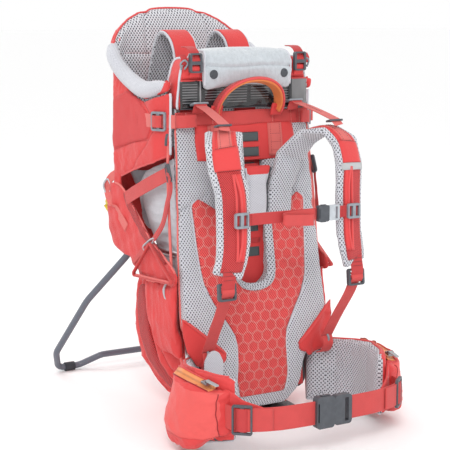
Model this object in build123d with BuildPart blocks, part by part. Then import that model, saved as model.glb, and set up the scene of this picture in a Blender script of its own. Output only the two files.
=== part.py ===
"""Baby carrier backpack: a framed child carrier with a hip belt and a fold-out stand, in millimetres.

+Z is up and -Y is the side that is worn. Left and right (-X and +X) are as seen from the worn side.
The origin is on the ground, in the middle plane, where the plane of the back frame meets the base.
"""

import os
from math import cos, radians, sin, tan

from build123d import *

# Driving dimensions
LEAN = 6.0                 # the back frame leans away from the wearer, degrees
FRAME_Y = -12.0            # where the frame's plane meets the ground
FRAME_HALF = 125.0         # from the middle plane to the centre line of each upright
FRAME_TOP = 636.0
TUBE_R = 6.0
TUBE_WALL = 1.2
CABIN_HALF = 156.0         # centre line of the cabin's side wall
CABIN_REAR = 262.0
CABIN_WALL = 7.0
HEADREST_TOP = 742.0
HEADREST_LEAN = 40.0       # how far the headrest's top leans back
HEM_FRONT = 479.0          # lower edge of the cabin's side, at the front and at the rear
HEM_REAR = 415.0
BAG_HALF = 142.0
BAG_TOP = 283.0
BASE_THICK = 5.0
PIVOT = (140.0, 190.0, 302.0)   # kickstand hinge, right side
STAND_TUBE_R = 6.5
STAND_REACH = 380.8        # from the hinge to the centre line of the ground bar, along the legs
STAND_OPEN = 39.7          # angle of the open stand from the vertical, degrees
PIN_R = 4.0
PIN_FIT = 0.05             # radial running clearance
FOOT_R = 9.0
PAD_BACK = 8.0             # the back pad starts this far in front of the frame's plane
SLOT_HALF = 31.0           # half width of the harness slot in the back pad
SLOT_LOW = 245.0
SLOT_HIGH = 520.0
STRAP_WIDE = 66.0          # shoulder pad
STRAP_THICK = 13.0
CHEST_Z = 389.0
BELT_Z = 78.0              # middle of the waist webbing
BELT_WEB = 40.0
BELT_FRONT = -268.0
WING_THICK = 18.0
REACH = 600.0              # longer than anything that an outline has to cut
CLEAR = 0.6                # gap between parts that slide past each other

os.makedirs("parts", exist_ok=True)


def save(part, name):
    """Write one finished piece under its own name."""
    part.label = name
    export_step(part, f"parts/{name}.step")


def both_sides(part):
    """One node that holds the right-hand piece and its mirror image."""
    with BuildPart() as pair:
        add(part)
        mirror(about=Plane.YZ)
    return pair.part


def save_sides(part, name):
    """The right-hand piece, and its mirror image as a node of its own."""
    save(part, f"{name}_right")
    save(mirror(part, about=Plane.YZ), f"{name}_left")


def lean(part):
    """Tilt a piece that was drawn against an upright frame in the plane Y = 0."""
    return Location((0, FRAME_Y, 0), (-LEAN, 0, 0)) * part


def frame_y(z, forward=0.0):
    """Y of a point on the leaning frame's plane at height z, or in front of it."""
    return FRAME_Y + z * tan(radians(LEAN)) - forward


def symmetric(half):
    """Close a right-hand outline with its mirror image."""
    return [*half, *[(-x, y) for x, y in reversed(half) if x]]


def two_view(side, front, corner=0.0):
    """The solid that looks like `side` (Y, Z) from the side and like `front` (X, Z) from the front."""
    with BuildPart() as block:
        with BuildSketch(Plane.YZ):
            with BuildLine():
                Polyline(*side, close=True)
            make_face()
        extrude(amount=REACH, both=True)
        with BuildSketch(Plane.XZ):
            with BuildLine():
                Polyline(*front, close=True)
            make_face()
            if corner:
                fillet(vertices(), corner)
        extrude(amount=REACH, both=True, mode=Mode.INTERSECT)
    return block.part


def box(low, high, corner=0.0):
    """A block between two corners, with its edges along Y rounded."""
    size = [b - a for a, b in zip(low, high)]
    middle = [(a + b) / 2 for a, b in zip(low, high)]
    with BuildPart(Plane(origin=middle)) as block:
        Box(*size)
        if corner:
            fillet(block.edges().filter_by(Axis.Y), corner)
    return block.part


def tube(route, radius, wall=0.0):
    """A round bar along a wire, hollow when it has a wall."""
    with BuildPart() as bar:
        with BuildSketch(Plane(origin=route @ 0, z_dir=route % 0)):
            Circle(radius)
            if wall:
                Circle(radius - wall, mode=Mode.SUBTRACT)
        sweep(path=route)
    return bar.part


def webbing(start, end, width, thick, across=(1, 0, 0)):
    """A straight length of webbing between two points, its width along `across`."""
    run = Vector(*end) - Vector(*start)
    with BuildPart() as strap:
        with BuildSketch(Plane(origin=start, x_dir=across, z_dir=run)):
            Rectangle(width, thick)
        extrude(amount=run.length)
    return strap.part


def upright_band(route, thick, low, high):
    """A band that stands on edge: a plan line given a thickness, from height low to height high."""
    with BuildPart() as band:
        with BuildSketch(Plane.XY.offset(low)):
            trace(route, line_width=thick)
        extrude(amount=high - low)
    return band.part


def side_band(points, radius, thick, low_x, high_x):
    """A band seen edge-on from the side: a (Y, Z) line given a thickness, from low_x to high_x."""
    with BuildPart() as band:
        with BuildSketch(Plane.YZ.offset(low_x)):
            with BuildLine():
                FilletPolyline(*points, radius=radius)
            trace(line_width=thick)
        extrude(amount=high_x - low_x)
    return band.part


def cut(part, *tools):
    """The piece without the room that its neighbours fill, and without loose crumbs."""
    with BuildPart() as rest:
        add(part)
        for tool in tools:
            add(tool, mode=Mode.SUBTRACT)
    return rest.part.solids().sort_by(SortBy.VOLUME)[-1]


def wire_frame(centre, width, height, thick, wire, across=(1, 0, 0), normal=(0, -1, 0)):
    """A ladder lock: a rectangular wire frame with a middle bar."""
    with BuildPart() as frame:
        with BuildSketch(Plane(origin=centre, x_dir=across, z_dir=normal)):
            RectangleRounded(width, height, wire)
            with Locations((0, height / 4), (0, -height / 4)):
                Rectangle(width - 2 * wire, height / 2 - 1.5 * wire, mode=Mode.SUBTRACT)
        extrude(amount=thick / 2, both=True)
    return frame.part


# ---------------------------------------------------------------- frame and stand

def frame_route():
    """The inverted U of the main tube, drawn upright."""
    with BuildLine(Plane.XZ) as line:
        FilletPolyline(
            (-FRAME_HALF, 12), (-FRAME_HALF, FRAME_TOP), (FRAME_HALF, FRAME_TOP), (FRAME_HALF, 12), radius=42
        )
    return line.wire()


frame_rod = lean(tube(frame_route(), TUBE_R))
save(lean(tube(frame_route(), TUBE_R, TUBE_WALL)), "frame_main_tube")

with BuildLine() as cross_line:
    Line((-FRAME_HALF, 0, 120), (FRAME_HALF, 0, 120))
frame_cross_tube = cut(lean(tube(cross_line.wire(), TUBE_R - 1, TUBE_WALL)), frame_rod)
save(frame_cross_tube, "frame_cross_tube")

EYE_HALF = STAND_TUBE_R            # half the width of the leg's flattened eye
CHEEK = 4.5
with BuildPart() as hinge:
    with BuildSketch(Plane.YZ.offset(PIVOT[0])):
        with Locations((PIVOT[1], PIVOT[2])):
            Circle(17)
        with Locations((PIVOT[1] - 14, PIVOT[2])):
            Rectangle(14, 22)
    extrude(amount=EYE_HALF + CLEAR + CHEEK, both=True)
    with BuildSketch(Plane.YZ.offset(PIVOT[0])):
        with Locations((PIVOT[1] + 10, PIVOT[2])):
            Rectangle(50, 60)
    extrude(amount=EYE_HALF + CLEAR, both=True, mode=Mode.SUBTRACT)
    with BuildSketch(Plane.YZ.offset(PIVOT[0])):
        with Locations((PIVOT[1], PIVOT[2])):
            Circle(PIN_R)
    extrude(amount=40, both=True, mode=Mode.SUBTRACT)
save(both_sides(hinge.part), "kickstand_hinges")

ARM_END_Y = PIVOT[1] - 17.0
with BuildLine() as arm_line:
    FilletPolyline(
        (FRAME_HALF, frame_y(PIVOT[2]), PIVOT[2]),
        (133, 95, PIVOT[2]),
        (PIVOT[0], ARM_END_Y, PIVOT[2]),
        radius=120,
    )
side_arm = cut(tube(arm_line.wire(), TUBE_R, TUBE_WALL), frame_rod, hinge.part)
save(both_sides(side_arm), "frame_side_arms")

PIN_END = PIVOT[0] + EYE_HALF + CLEAR + CHEEK
with BuildPart() as pin:
    with BuildSketch(Plane.YZ.offset(PIVOT[0] - EYE_HALF - CLEAR - CHEEK)):
        with Locations((PIVOT[1], PIVOT[2])):
            Circle(PIN_R)
    extrude(amount=2 * (EYE_HALF + CLEAR + CHEEK))
    with BuildSketch(Plane.YZ.offset(PIN_END)):
        with Locations((PIVOT[1], PIVOT[2])):
            Circle(PIN_R + 3)
    extrude(amount=2.5)
    fillet(pin.faces().sort_by(Axis.X)[-1].edges(), 1.2)
save(both_sides(pin.part), "kickstand_pins")

# The stand is drawn in its own plane: x across, y down the legs from the hinge.
stand_plane = Plane(
    origin=(0, PIVOT[1], PIVOT[2]),
    x_dir=(1, 0, 0),
    z_dir=(0, cos(radians(STAND_OPEN)), sin(radians(STAND_OPEN))),
)
BAR_RISE = 26.0                    # the ground bar's middle is this much higher up the legs
EYE_R = 13.0
right_leg = [
    (PIVOT[0], 9),
    (PIVOT[0] + 1, 36),
    (190, 165),
    (214, 326),
    (196, STAND_REACH),
    (150, STAND_REACH),
    (106, STAND_REACH - BAR_RISE),
]
with BuildLine(stand_plane) as stand_line:
    FilletPolyline(
        *right_leg,
        *[(-x, y) for x, y in reversed(right_leg)],
        radius=[60, 120, 45, 22, 30, 30, 30, 30, 22, 45, 120, 60],
    )
with BuildPart() as kickstand:
    add(tube(stand_line.wire(), STAND_TUBE_R, 1.5))
    for side in (1, -1):
        for radius, reach, mode in ((EYE_R, EYE_HALF, Mode.ADD), (PIN_R + PIN_FIT, 20, Mode.SUBTRACT)):
            with BuildSketch(Plane.YZ.offset(side * PIVOT[0])):
                with Locations((PIVOT[1], PIVOT[2])):
                    Circle(radius)
            extrude(amount=reach, both=True, mode=mode)
save(kickstand.part, "kickstand")

foot_y = PIVOT[1] + STAND_REACH * sin(radians(STAND_OPEN))
foot_z = PIVOT[2] - STAND_REACH * cos(radians(STAND_OPEN))
with BuildPart() as foot:
    with BuildSketch(Plane.YZ.offset(160)):
        with Locations((foot_y, foot_z)):
            Circle(FOOT_R)
            Circle(STAND_TUBE_R, mode=Mode.SUBTRACT)
    extrude(amount=22)
    chamfer(foot.edges().filter_by(GeomType.CIRCLE).group_by(SortBy.RADIUS)[-1], 1)
save(both_sides(foot.part), "kickstand_feet")

base_outline = symmetric([(94, -24), (98, 40), (92, 100)])
with BuildPart() as base_plate:
    with BuildSketch(Plane.XY):
        with BuildLine():
            Polyline(*base_outline, close=True)
        make_face()
        fillet(vertices(), 14)
    extrude(amount=BASE_THICK)
    fillet(base_plate.faces().sort_by(Axis.Z)[-1].edges(), 2)
save(base_plate.part, "base_plate")

back_board = lean(box((-114, -PAD_BACK, 40), (114, -TUBE_R, 556), corner=20))
save(back_board, "back_board")

# ---------------------------------------------------------------- back pad

# How far the pad's front stands out from the frame's plane, as (height, forward).
PAD_FRONT = [(14, 24), (60, 41), (120, 46), (185, 43), (265, 33), (390, 25), (540, 22)]


def pad_slice(start, end):
    """A slice of the back pad between two surfaces parallel to its front, drawn upright."""
    front = [(-forward - end, height) for height, forward in PAD_FRONT]
    rear = [(-forward - start, height) for height, forward in PAD_FRONT]
    with BuildPart() as slab:
        with BuildSketch(Plane.YZ):
            with BuildLine():
                Spline(*front)
                Spline(*rear)
                Line(front[0], rear[0])
                Line(front[-1], rear[-1])
            make_face()
        extrude(amount=REACH, both=True)
    return slab.part


def pad_outline(half, corner):
    """A column through the pad with the given right-hand outline (X, Z)."""
    with BuildPart() as column:
        with BuildSketch(Plane.XZ):
            with BuildLine():
                Polyline(*symmetric(half), close=True)
            make_face()
            fillet(vertices(), corner)
        extrude(amount=REACH, both=True)
    return column.part


def slot_column(grow=0.0):
    """The harness slot: straight sides and a round lower end."""
    half = SLOT_HALF + grow
    with BuildPart() as column:
        with BuildSketch(Plane.XZ):
            with Locations((0, (SLOT_LOW + SLOT_HIGH) / 2)):
                RectangleRounded(2 * half, SLOT_HIGH - SLOT_LOW + 2 * grow, min(half - 1, 28))
        extrude(amount=REACH, both=True)
    return column.part


def pad_body():
    """The whole thickness of the back pad, drawn upright."""
    front = [(-forward, height) for height, forward in PAD_FRONT]
    with BuildPart() as slab:
        with BuildSketch(Plane.YZ):
            with BuildLine():
                Spline(*front)
                Polyline(front[-1], (-PAD_BACK, PAD_FRONT[-1][0]), (-PAD_BACK, PAD_FRONT[0][0]), front[0])
            make_face()
        extrude(amount=REACH, both=True)
    return slab.part


PAD_EDGE = [(58, 14), (82, 40), (96, 100), (132, 145), (151, 178), (150, 300), (146, 400), (139, 540)]
MESH_EDGE = [(40, 22), (54, 60), (66, 130), (98, 200), (104, 300), (112, 392), (58, 398)]

with BuildPart() as back_pad:
    add(pad_body())
    add(pad_outline(PAD_EDGE, 12), mode=Mode.INTERSECT)
    add(slot_column(), mode=Mode.SUBTRACT)
save(lean(back_pad.part), "back_pad")

MESH_SKIN = 2.5
with BuildPart() as back_mesh:
    add(pad_slice(0, MESH_SKIN))
    add(pad_outline(MESH_EDGE, 8), mode=Mode.INTERSECT)
    add(slot_column(12), mode=Mode.SUBTRACT)
save(lean(back_mesh.part), "back_mesh_panel")

with BuildPart() as grip_strips:
    for strip_z in (300, 345, 468, 492):
        with BuildSketch(Plane.XZ.offset(PAD_BACK)):
            with Locations((0, strip_z)):
                RectangleRounded(2 * SLOT_HALF - 8, 17, 2)
        extrude(amount=1.8)
save(lean(grip_strips.part), "grip_strips")

# ---------------------------------------------------------------- head of the frame

BOX_FRONT = [(22, 558), (15, 648)]         # front face of the top box, (Y, Z)
BOX_REAR = [(64, 650), (68, 558)]
box_outline = symmetric([(138, 558), (134, 610), (121, 650)])
top_box = cut(two_view([*BOX_FRONT, *BOX_REAR], box_outline, 9), frame_rod)
save(top_box, "top_box")

label_panel = two_view(
    [(22, 560), (20.5, 560), (16.5, 611), (18, 611)], symmetric([(130, 560), (129, 611)]), 3
)
save(cut(label_panel, top_box), "label_panel")

chin_outline = symmetric([(91, 594), (93, 640), (86, 664)])
chin_side = [(7, 594), (3, 628), (4, 656), (14, 664), (60, 664), (72, 654), (76, 610), (60, 594)]
save(cut(two_view(chin_side, chin_outline, 8), top_box, label_panel, frame_rod), "chin_pad")

CHIN_FACE_Y = 3.0
with BuildPart() as snap:
    with BuildSketch(Plane.XZ.offset(-CHIN_FACE_Y)):
        with Locations((72, 621)):
            Circle(8)
    extrude(amount=3)
    fillet(snap.faces().sort_by(Axis.Y)[0].edges(), 1.2)
chin_pad = two_view(chin_side, chin_outline, 8)
save(both_sides(cut(snap.part, chin_pad)), "chin_pad_snaps")

chin_buckle = wire_frame((107, 4, 641), 24, 34, 7, 4)
save(both_sides(cut(chin_buckle, chin_pad, top_box)), "chin_pad_buckles")

TOP_BAND_Z = (530, 556)
pad_top_y = -PAD_FRONT[-1][1]
top_band = lean(box((-137, pad_top_y - 2, TOP_BAND_Z[0]), (137, pad_top_y, TOP_BAND_Z[1]), corner=2))
save(cut(top_band, lean(back_pad.part), top_box), "top_band")

# The grab handle's arch, in the plane that it swings in.
HANDLE_PIVOT = (14.0, 549.0)
HANDLE_HALF = 64.0
handle_plane = Plane(
    origin=(0, *HANDLE_PIVOT),
    x_dir=(1, 0, 0),
    z_dir=(0, -cos(radians(28)), -sin(radians(28))),
)
with BuildLine(handle_plane) as handle_line:
    ThreePointArc((-HANDLE_HALF, 12), (0, 70), (HANDLE_HALF, 12))
with BuildPart() as grab_handle:
    with BuildSketch(
        Plane(origin=handle_line.line @ 0, x_dir=handle_plane.z_dir, z_dir=handle_line.line % 0)
    ):
        RectangleRounded(24, 7, 3)
    sweep(path=handle_line.wire())
    with Locations((HANDLE_HALF - 2, HANDLE_PIVOT[0] - 2, HANDLE_PIVOT[1] + 6)):
        Box(12, 9, 18)
    with Locations((-HANDLE_HALF + 2, HANDLE_PIVOT[0] - 2, HANDLE_PIVOT[1] + 6)):
        Box(12, 9, 18)
save(grab_handle.part, "grab_handle")

# ---------------------------------------------------------------- child cabin

with BuildLine() as cabin_line:
    FilletPolyline(
        (140, 28), (CABIN_HALF - 1, 66), (CABIN_HALF, 110), (CABIN_HALF, CABIN_REAR),
        (-CABIN_HALF, CABIN_REAR), (-CABIN_HALF, 110), (1 - CABIN_HALF, 66), (-140, 28),
        radius=[12, 40, 40, 40, 40, 12],
    )
RIM = [(20, 592), (104, 574), (165, 588), (222, 612), (262, 640), (330, 660)]   # top of the side wall
cabin_side = [(20, HEM_FRONT), (205, HEM_REAR + 8), (206, BAG_TOP), (330, BAG_TOP), *reversed(RIM)]
cabin_front = symmetric([(118, BAG_TOP), (130, 330), (170, 345), (170, 700)])
with BuildPart() as cabin_wall:
    add(upright_band(cabin_line.wire(), CABIN_WALL, BAG_TOP, 662))
    add(two_view(cabin_side, cabin_front), mode=Mode.INTERSECT)
cabin_shell = cut(cabin_wall.part, lean(back_pad.part), top_box, frame_rod)
save(cabin_shell, "cabin_wall")

HEADREST_THICK = 20.0
with BuildLine() as headrest_top_line:
    FilletPolyline(
        (140, 28), (CABIN_HALF, 100), (CABIN_HALF - 4, CABIN_REAR + HEADREST_LEAN),
        (4 - CABIN_HALF, CABIN_REAR + HEADREST_LEAN), (-CABIN_HALF, 100), (-140, 28), radius=[40, 62, 62, 40],
    )
with BuildLine() as headrest_low_line:
    FilletPolyline(
        (138, 28), (CABIN_HALF - 6, 100), (CABIN_HALF - 6, CABIN_REAR - 6),
        (6 - CABIN_HALF, CABIN_REAR - 6), (6 - CABIN_HALF, 100), (-138, 28), radius=[40, 36, 36, 40],
    )
with BuildPart() as headrest:
    with BuildSketch(Plane.XY.offset(560)):
        trace(headrest_low_line.wire(), line_width=HEADREST_THICK)
    with BuildSketch(Plane.XY.offset(760)):
        trace(headrest_top_line.wire(), line_width=HEADREST_THICK)
    loft(ruled=True)
    with BuildSketch(Plane.YZ):
        with BuildLine():
            Polyline(*RIM, (330, 760), (300, 760))
            Spline((300, 760), (266, 682), (222, 640), (165, 610), (104, 596), (60, 602), (20, 614))
            Line((20, 614), RIM[0])
        make_face()
    extrude(amount=REACH, both=True, mode=Mode.INTERSECT)
    with BuildSketch(Plane.XZ):
        with BuildLine():
            Spline(
                (170, 640), (140, 693), (100, 722), (0, HEADREST_TOP), (-100, 722), (-140, 693), (-170, 640)
            )
            Polyline((-170, 640), (-170, 560), (170, 560), (170, 640))
        make_face()
    extrude(amount=REACH, both=True, mode=Mode.INTERSECT)
save(cut(headrest.part, top_box, frame_rod), "headrest")

seat_route = [(44, 392), (72, 338), (190, 330), (222, 400), (250, 432)]
save(side_band(seat_route, 26, 6, -118, 118), "seat_sling")
pad_on_seat = box((-80, 92, 338), (80, 172, 352), corner=0)
save(cut(pad_on_seat, side_band(seat_route, 26, 6, -118, 118)), "seat_pad")

child_route = [(244, 540), (222, 640), (184, 690), (140, 664), (118, 560), (112, 486)]
child_strap = side_band(child_route, [60, 30, 32, 60], 8, 32, 82)
save(both_sides(child_strap), "child_straps")
save(box((-34, 106, 452), (34, 118, 486), corner=8), "child_harness_buckle")

bag_side = [(frame_y(BASE_THICK, -6.6), BASE_THICK), (98, BASE_THICK), (130, 24), (162, 87), (186, 145)]
bag_side += [(194, 236), (238, 264), (246, BAG_TOP), (frame_y(BAG_TOP, -6.6), BAG_TOP)]
bag_front = symmetric([(88, BASE_THICK), (113, 30), (BAG_HALF, 92), (BAG_HALF, 220), (122, BAG_TOP)])
save(cut(two_view(bag_side, bag_front, 3), frame_rod, side_arm), "lower_bag")

PANEL_X = CABIN_HALF + 1.5            # inner face of the side panels that the pockets are sewn to
pocket = cut(
    two_view(
        [(-18, 122), (100, 118), (112, 250), (-12, 262)],
        [(BAG_HALF, 112), (155, 126), (160, 180), (158, 264), (BAG_HALF, 270)],
    ),
    lean(back_pad.part),
)
save(both_sides(pocket), "side_pockets")

with BuildPart() as side_panel:
    with BuildSketch(Plane.YZ.offset(PANEL_X)):
        with BuildLine():
            Polyline(
                (-14, 256), (-14, 280), (80, 325), (190, 404), (240, 410), (247, 338), (172, 332), (150, 272),
                (108, 256), close=True,
            )
        make_face()
        fillet(vertices(), 4)
    extrude(amount=2.6)
save(both_sides(cut(side_panel.part, pocket, cabin_shell)), "side_panels")

# Diagonal webbing across each leg opening, and the buckle that opens it.
entry_strap = webbing((PANEL_X + 3.6, 176, 388), (PANEL_X + 3.6, 30, 447), 25, 2, across=(0, 0.39, 0.92))
save(both_sides(cut(entry_strap, side_panel.part)), "entry_straps")
with BuildPart() as entry_buckle:
    add(wire_frame((PANEL_X + 3.6, 20, 451), 36, 22, 7, 4, across=(0, 0.3, 1), normal=(1, 0, 0)))
    add(box((141, 8, 440), (PANEL_X + 1, 16, 464)))
save(both_sides(cut(entry_buckle.part, entry_strap, lean(back_pad.part))), "entry_buckles")

with BuildLine() as compression_line:
    FilletPolyline((CABIN_HALF + 4.6, 134), (CABIN_HALF + 4.6, 64), (138, 20.5), radius=30)
compression_strap = upright_band(compression_line.wire(), 2, 527, 552)
save(both_sides(cut(compression_strap, cabin_shell, lean(back_pad.part), top_band)), "compression_straps")
lock_spot = compression_line.line @ 0.72
lock_along = compression_line.line % 0.72
lock_out = Vector(0, 0, 1).cross(lock_along)
lock_out = lock_out if lock_out.X > 0 else -lock_out
compression_lock = wire_frame(
    lock_spot + lock_out * 4, 34, 30, 5, 4, across=(0, 0, 1), normal=lock_out
)
compression_lock = Location((0, 0, 539.5 - lock_spot.Z)) * compression_lock
save(both_sides(cut(compression_lock, compression_strap)), "compression_buckles")

# ---------------------------------------------------------------- foot stirrups

STIRRUP_TOP = 322.0
STIRRUP_X = PANEL_X + 9.0
with BuildPart() as stirrup:
    with BuildSketch(Plane.YZ.offset(STIRRUP_X - 5)):
        with BuildLine():
            FilletPolyline((66, STIRRUP_TOP), (136, 252), (-22, 262), radius=5, close=True)
        trace(line_width=3)
    extrude(amount=12)
save_sides(stirrup.part, "stirrup")

# ---------------------------------------------------------------- harness

# Middle of the right shoulder pad, from the yoke, over the shoulder and down the front:
# the point, the width and how far the pad is turned outwards, in degrees.
PAD_STATIONS = [
    ((46, -24, 368), 52, 0),
    ((49, -26, 420), 54, 0),
    ((62, -32, 474), 60, 0),
    ((84, -58, 512), 64, 4),
    ((106, -92, 526), STRAP_WIDE, 8),
    ((121, -117, 507), STRAP_WIDE, 12),
    ((124, -130, 470), STRAP_WIDE, 14),
    ((118, -137, 432), STRAP_WIDE, 14),
    ((117, -139, 400), STRAP_WIDE, 14),
    ((117, -141, 352), STRAP_WIDE, 14),
    ((121, -142, 322), 62, 14),
    ((128, -141, 290), 54, 14),
]


def shoulder_pad():
    """The right shoulder pad, lofted through its stations."""
    points = [Vector(*point) for point, _, _ in PAD_STATIONS]
    with BuildPart() as pad:
        for i, (_, width, turn) in enumerate(PAD_STATIONS):
            along = (points[min(i + 1, len(points) - 1)] - points[max(i - 1, 0)]).normalized()
            across = Vector(cos(radians(turn)), sin(radians(turn)), 0)
            across -= along * along.dot(across)
            with BuildSketch(Plane(origin=points[i], x_dir=across, z_dir=along)):
                RectangleRounded(width, STRAP_THICK, 4)
        loft(ruled=True)
    return pad.part


right_pad = shoulder_pad()
save_sides(right_pad, "shoulder_pad")

yoke_pad = cut(box((-30, -30.5, 372), (30, -17.5, 462), corner=6), both_sides(right_pad))
save(yoke_pad, "yoke_pad")
YOKE_FACE = PAD_BACK + 1.8 + CLEAR
with BuildPart() as yoke_plate:
    add(lean(box((-27, -YOKE_FACE - 4, 372), (27, -YOKE_FACE, 462), corner=8)))
    add(lean(box((-20, -52, 392), (20, -YOKE_FACE - 3, 444), corner=6)))
save(cut(yoke_plate.part, box((-40, -60, 340), (40, -17.5, 480)), both_sides(right_pad)), "yoke_plate")

LIFT_LOW = (112, -104, 543)
LIFT_HIGH = (99, -2, 567)
lift_strap = webbing(LIFT_HIGH, LIFT_LOW, 20, 1.6)
save(both_sides(cut(lift_strap, right_pad)), "load_lifter_straps")
lifter_ring = wire_frame((98, 8, 570), 30, 18, 3, 3, normal=(0, 0.3, 1))
save(both_sides(cut(lifter_ring, lift_strap, top_box, label_panel)), "lifter_rings")

ADJUSTER = (131, -145, 268)
LOWER_END = (124, -68, 147)
ladder_lock = cut(wire_frame(ADJUSTER, 34, 30, 7, 4.5, normal=(0, -1, 0.1)), right_pad)
lift_buckle = cut(wire_frame((112.5, -100, 540.5), 28, 16, 3, 3, normal=(0, 0.25, 1)), right_pad, lift_strap)
with BuildPart() as adjusters:
    add(ladder_lock)
    add(lift_buckle)
lower_strap = webbing((131, -141, 262), LOWER_END, 25, 1.8)
save(both_sides(cut(lower_strap, ladder_lock)), "lower_straps")
save(both_sides(adjusters.part), "strap_adjusters")

# ---------------------------------------------------------------- buckles


def buckle(x, y, z, width, height, thick, tab_travel):
    """A side-release buckle that lies along X: socket, plug, upper tab and lower tab."""
    front, rear = y - thick / 2, y + thick / 2
    half = height / 2
    tab = (x - width * 0.34, x - width * 0.12)
    tongue = height * 0.22
    room = box(
        (x - width * 0.40, y - thick * 0.3, z - half * 0.72), (x + 1, y + thick * 0.3, z + half * 0.72)
    )
    windows = box(
        (tab[0] - CLEAR, y - thick * 0.3, z - half - 1), (tab[1] + CLEAR, y + thick * 0.3, z + half + 1)
    )
    slot = box((x - width * 0.47, front - 1, z - half * 0.6), (x - width * 0.43, rear + 1, z + half * 0.6))
    with BuildPart() as socket:
        add(box((x - width / 2, front, z - half), (x, rear, z + half), corner=height * 0.12))
        for hole in (room, windows, slot):
            add(hole, mode=Mode.SUBTRACT)
    web_hole = box(
        (x + width * 0.30, front - 1, z - half * 0.74), (x + width * 0.41, rear + 1, z + half * 0.74)
    )
    with BuildPart() as plug:
        add(box(
            (x + 0.4, front + 1, z - half * 0.94), (x + width / 2, rear - 1, z + half * 0.94), height * 0.12
        ))
        add(web_hole, mode=Mode.SUBTRACT)
        add(box((x - width * 0.36, y - thick * 0.2, z - tongue), (x + 2, y + thick * 0.2, z + tongue)))
    tabs = []
    for side in (1, -1):
        inner = z + side * (tongue + tab_travel + 0.4)
        outer = z + side * (half + 1.2)
        low, high = min(inner, outer), max(inner, outer)
        tabs.append(box((tab[0], y - thick * 0.22, low), (tab[1], y + thick * 0.22, high)))
    return socket.part, plug.part, *tabs


for piece, name in zip(
    buckle(0, BELT_FRONT, BELT_Z, 70, 54, 14, 2.5),
    ("waist_buckle_socket", "waist_buckle_plug", "waist_tab_upper", "waist_tab_lower"),
):
    save(piece, name)

CHEST_Y = -160.5
for piece, name in zip(
    buckle(60, CHEST_Y, CHEST_Z, 44, 28, 9, 1.5),
    ("chest_buckle_socket", "chest_buckle_plug", "chest_tab_upper", "chest_tab_lower"),
):
    save(piece, name)

# ---------------------------------------------------------------- hip belt

with BuildLine() as wing_line:
    Spline((114, -13), (152, -42), (176, -92), (174, -145), (144, -203))
wing_side = [(2, 14), (-60, 9), (-130, 8), (-215, 34), (-215, 126), (-100, 121), (2, 117)]
wing_front = [(90, 0), (200, 0), (200, 130), (90, 130)]
with BuildPart() as wing:
    add(upright_band(wing_line.wire(), WING_THICK, 4, 130))
    add(two_view(wing_side, wing_front), mode=Mode.INTERSECT)
wing_solid = cut(wing.part, lean(back_pad.part), back_board, frame_rod)
save(both_sides(wing_solid), "hip_wings")

ZIP_REAR = (200.0, -96.0, 133.0)
ZIP_FRONT = (186.0, -180.0, 124.0)
with BuildPart() as pocket_plan:
    with BuildSketch(Plane.XY):
        with BuildLine():
            Spline((176, -72), (204, -92), (214, -132), (202, -180), (158, -210))
            Polyline((158, -210), (148, -198), (170, -140), (170, -90), (176, -72))
        make_face()
    extrude(amount=150)
pocket_side = [(-66, 34), (-86, 11), (-176, 14), (-216, 36), (-216, 119.5)]
pocket_side += [(ZIP_FRONT[1], ZIP_FRONT[2] - 0.8), (ZIP_REAR[1], ZIP_REAR[2] - 0.8), (-66, 135.6)]
with BuildPart() as hip_pocket:
    add(pocket_plan.part)
    add(two_view(pocket_side, [(140, 0), (230, 0), (230, 150), (140, 150)]), mode=Mode.INTERSECT)
    add(upright_band(wing_line.wire(), WING_THICK, -1, 160), mode=Mode.SUBTRACT)
pocket_solid = hip_pocket.part.solids().sort_by(SortBy.VOLUME)[-1]
save(both_sides(pocket_solid), "hip_pockets")

# The zip's own frame at its front end: x across the zip, y up, z forwards along it.
zip_run = Vector(*ZIP_FRONT) - Vector(*ZIP_REAR)
zip_plane = Plane(origin=ZIP_FRONT, x_dir=Vector(0, 0, 1).cross(zip_run), z_dir=zip_run)
SLIDER_LONG = 14.0
PULL_LIFT = 6.5            # underside of the pull above the zip
PULL_HINGE_BACK = 5.0      # the pull's hinge is this far behind the closed end of the zip
with BuildPart() as zip_slider:
    with BuildSketch(zip_plane):
        with Locations((0, 3)):
            RectangleRounded(10.6, 5, 1.5)
    extrude(amount=-SLIDER_LONG)
    with BuildSketch(zip_plane.offset(-PULL_HINGE_BACK - 2)):
        with Locations((4.7, 7), (-4.7, 7)):
            Rectangle(1.2, 4)
    extrude(amount=4)
save_sides(zip_slider.part, "zipper_slider")

pull_plane = Plane(origin=zip_plane.from_local_coords((0, PULL_LIFT, 0)), x_dir=zip_plane.x_dir,
                   z_dir=zip_plane.y_dir)
PULL_FRONT = 23.0
PULL_REAR = PULL_HINGE_BACK + 1.2
with BuildPart() as puller:
    with BuildSketch(pull_plane):
        with Locations((0, (PULL_REAR - PULL_FRONT) / 2)):
            RectangleRounded(7, PULL_REAR + PULL_FRONT, 1.5)
    extrude(amount=2)
save_sides(puller.part, "zipper_pull")

with BuildLine() as belt_line:
    FilletPolyline((170, -194), (160, -236), (104, -262), (31, BELT_FRONT), radius=[14, 60])
belt_band = upright_band(belt_line.wire(), 2.4, BELT_Z - BELT_WEB / 2, BELT_Z + BELT_WEB / 2)
waist_parts = [box((-35, BELT_FRONT - 9, 40), (35, BELT_FRONT + 9, 110))]
save(both_sides(cut(belt_band, pocket_solid, wing_solid, *waist_parts)), "belt_webbing")

belt_frame = wire_frame(
    (157.5, -240, BELT_Z), BELT_WEB + 10, 34, 5, 4, across=(0, 0, 1), normal=(0.66, -0.75, 0)
)
save(both_sides(cut(belt_frame, belt_band)), "belt_slider_frames")

# ---------------------------------------------------------------- chest strap

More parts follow.
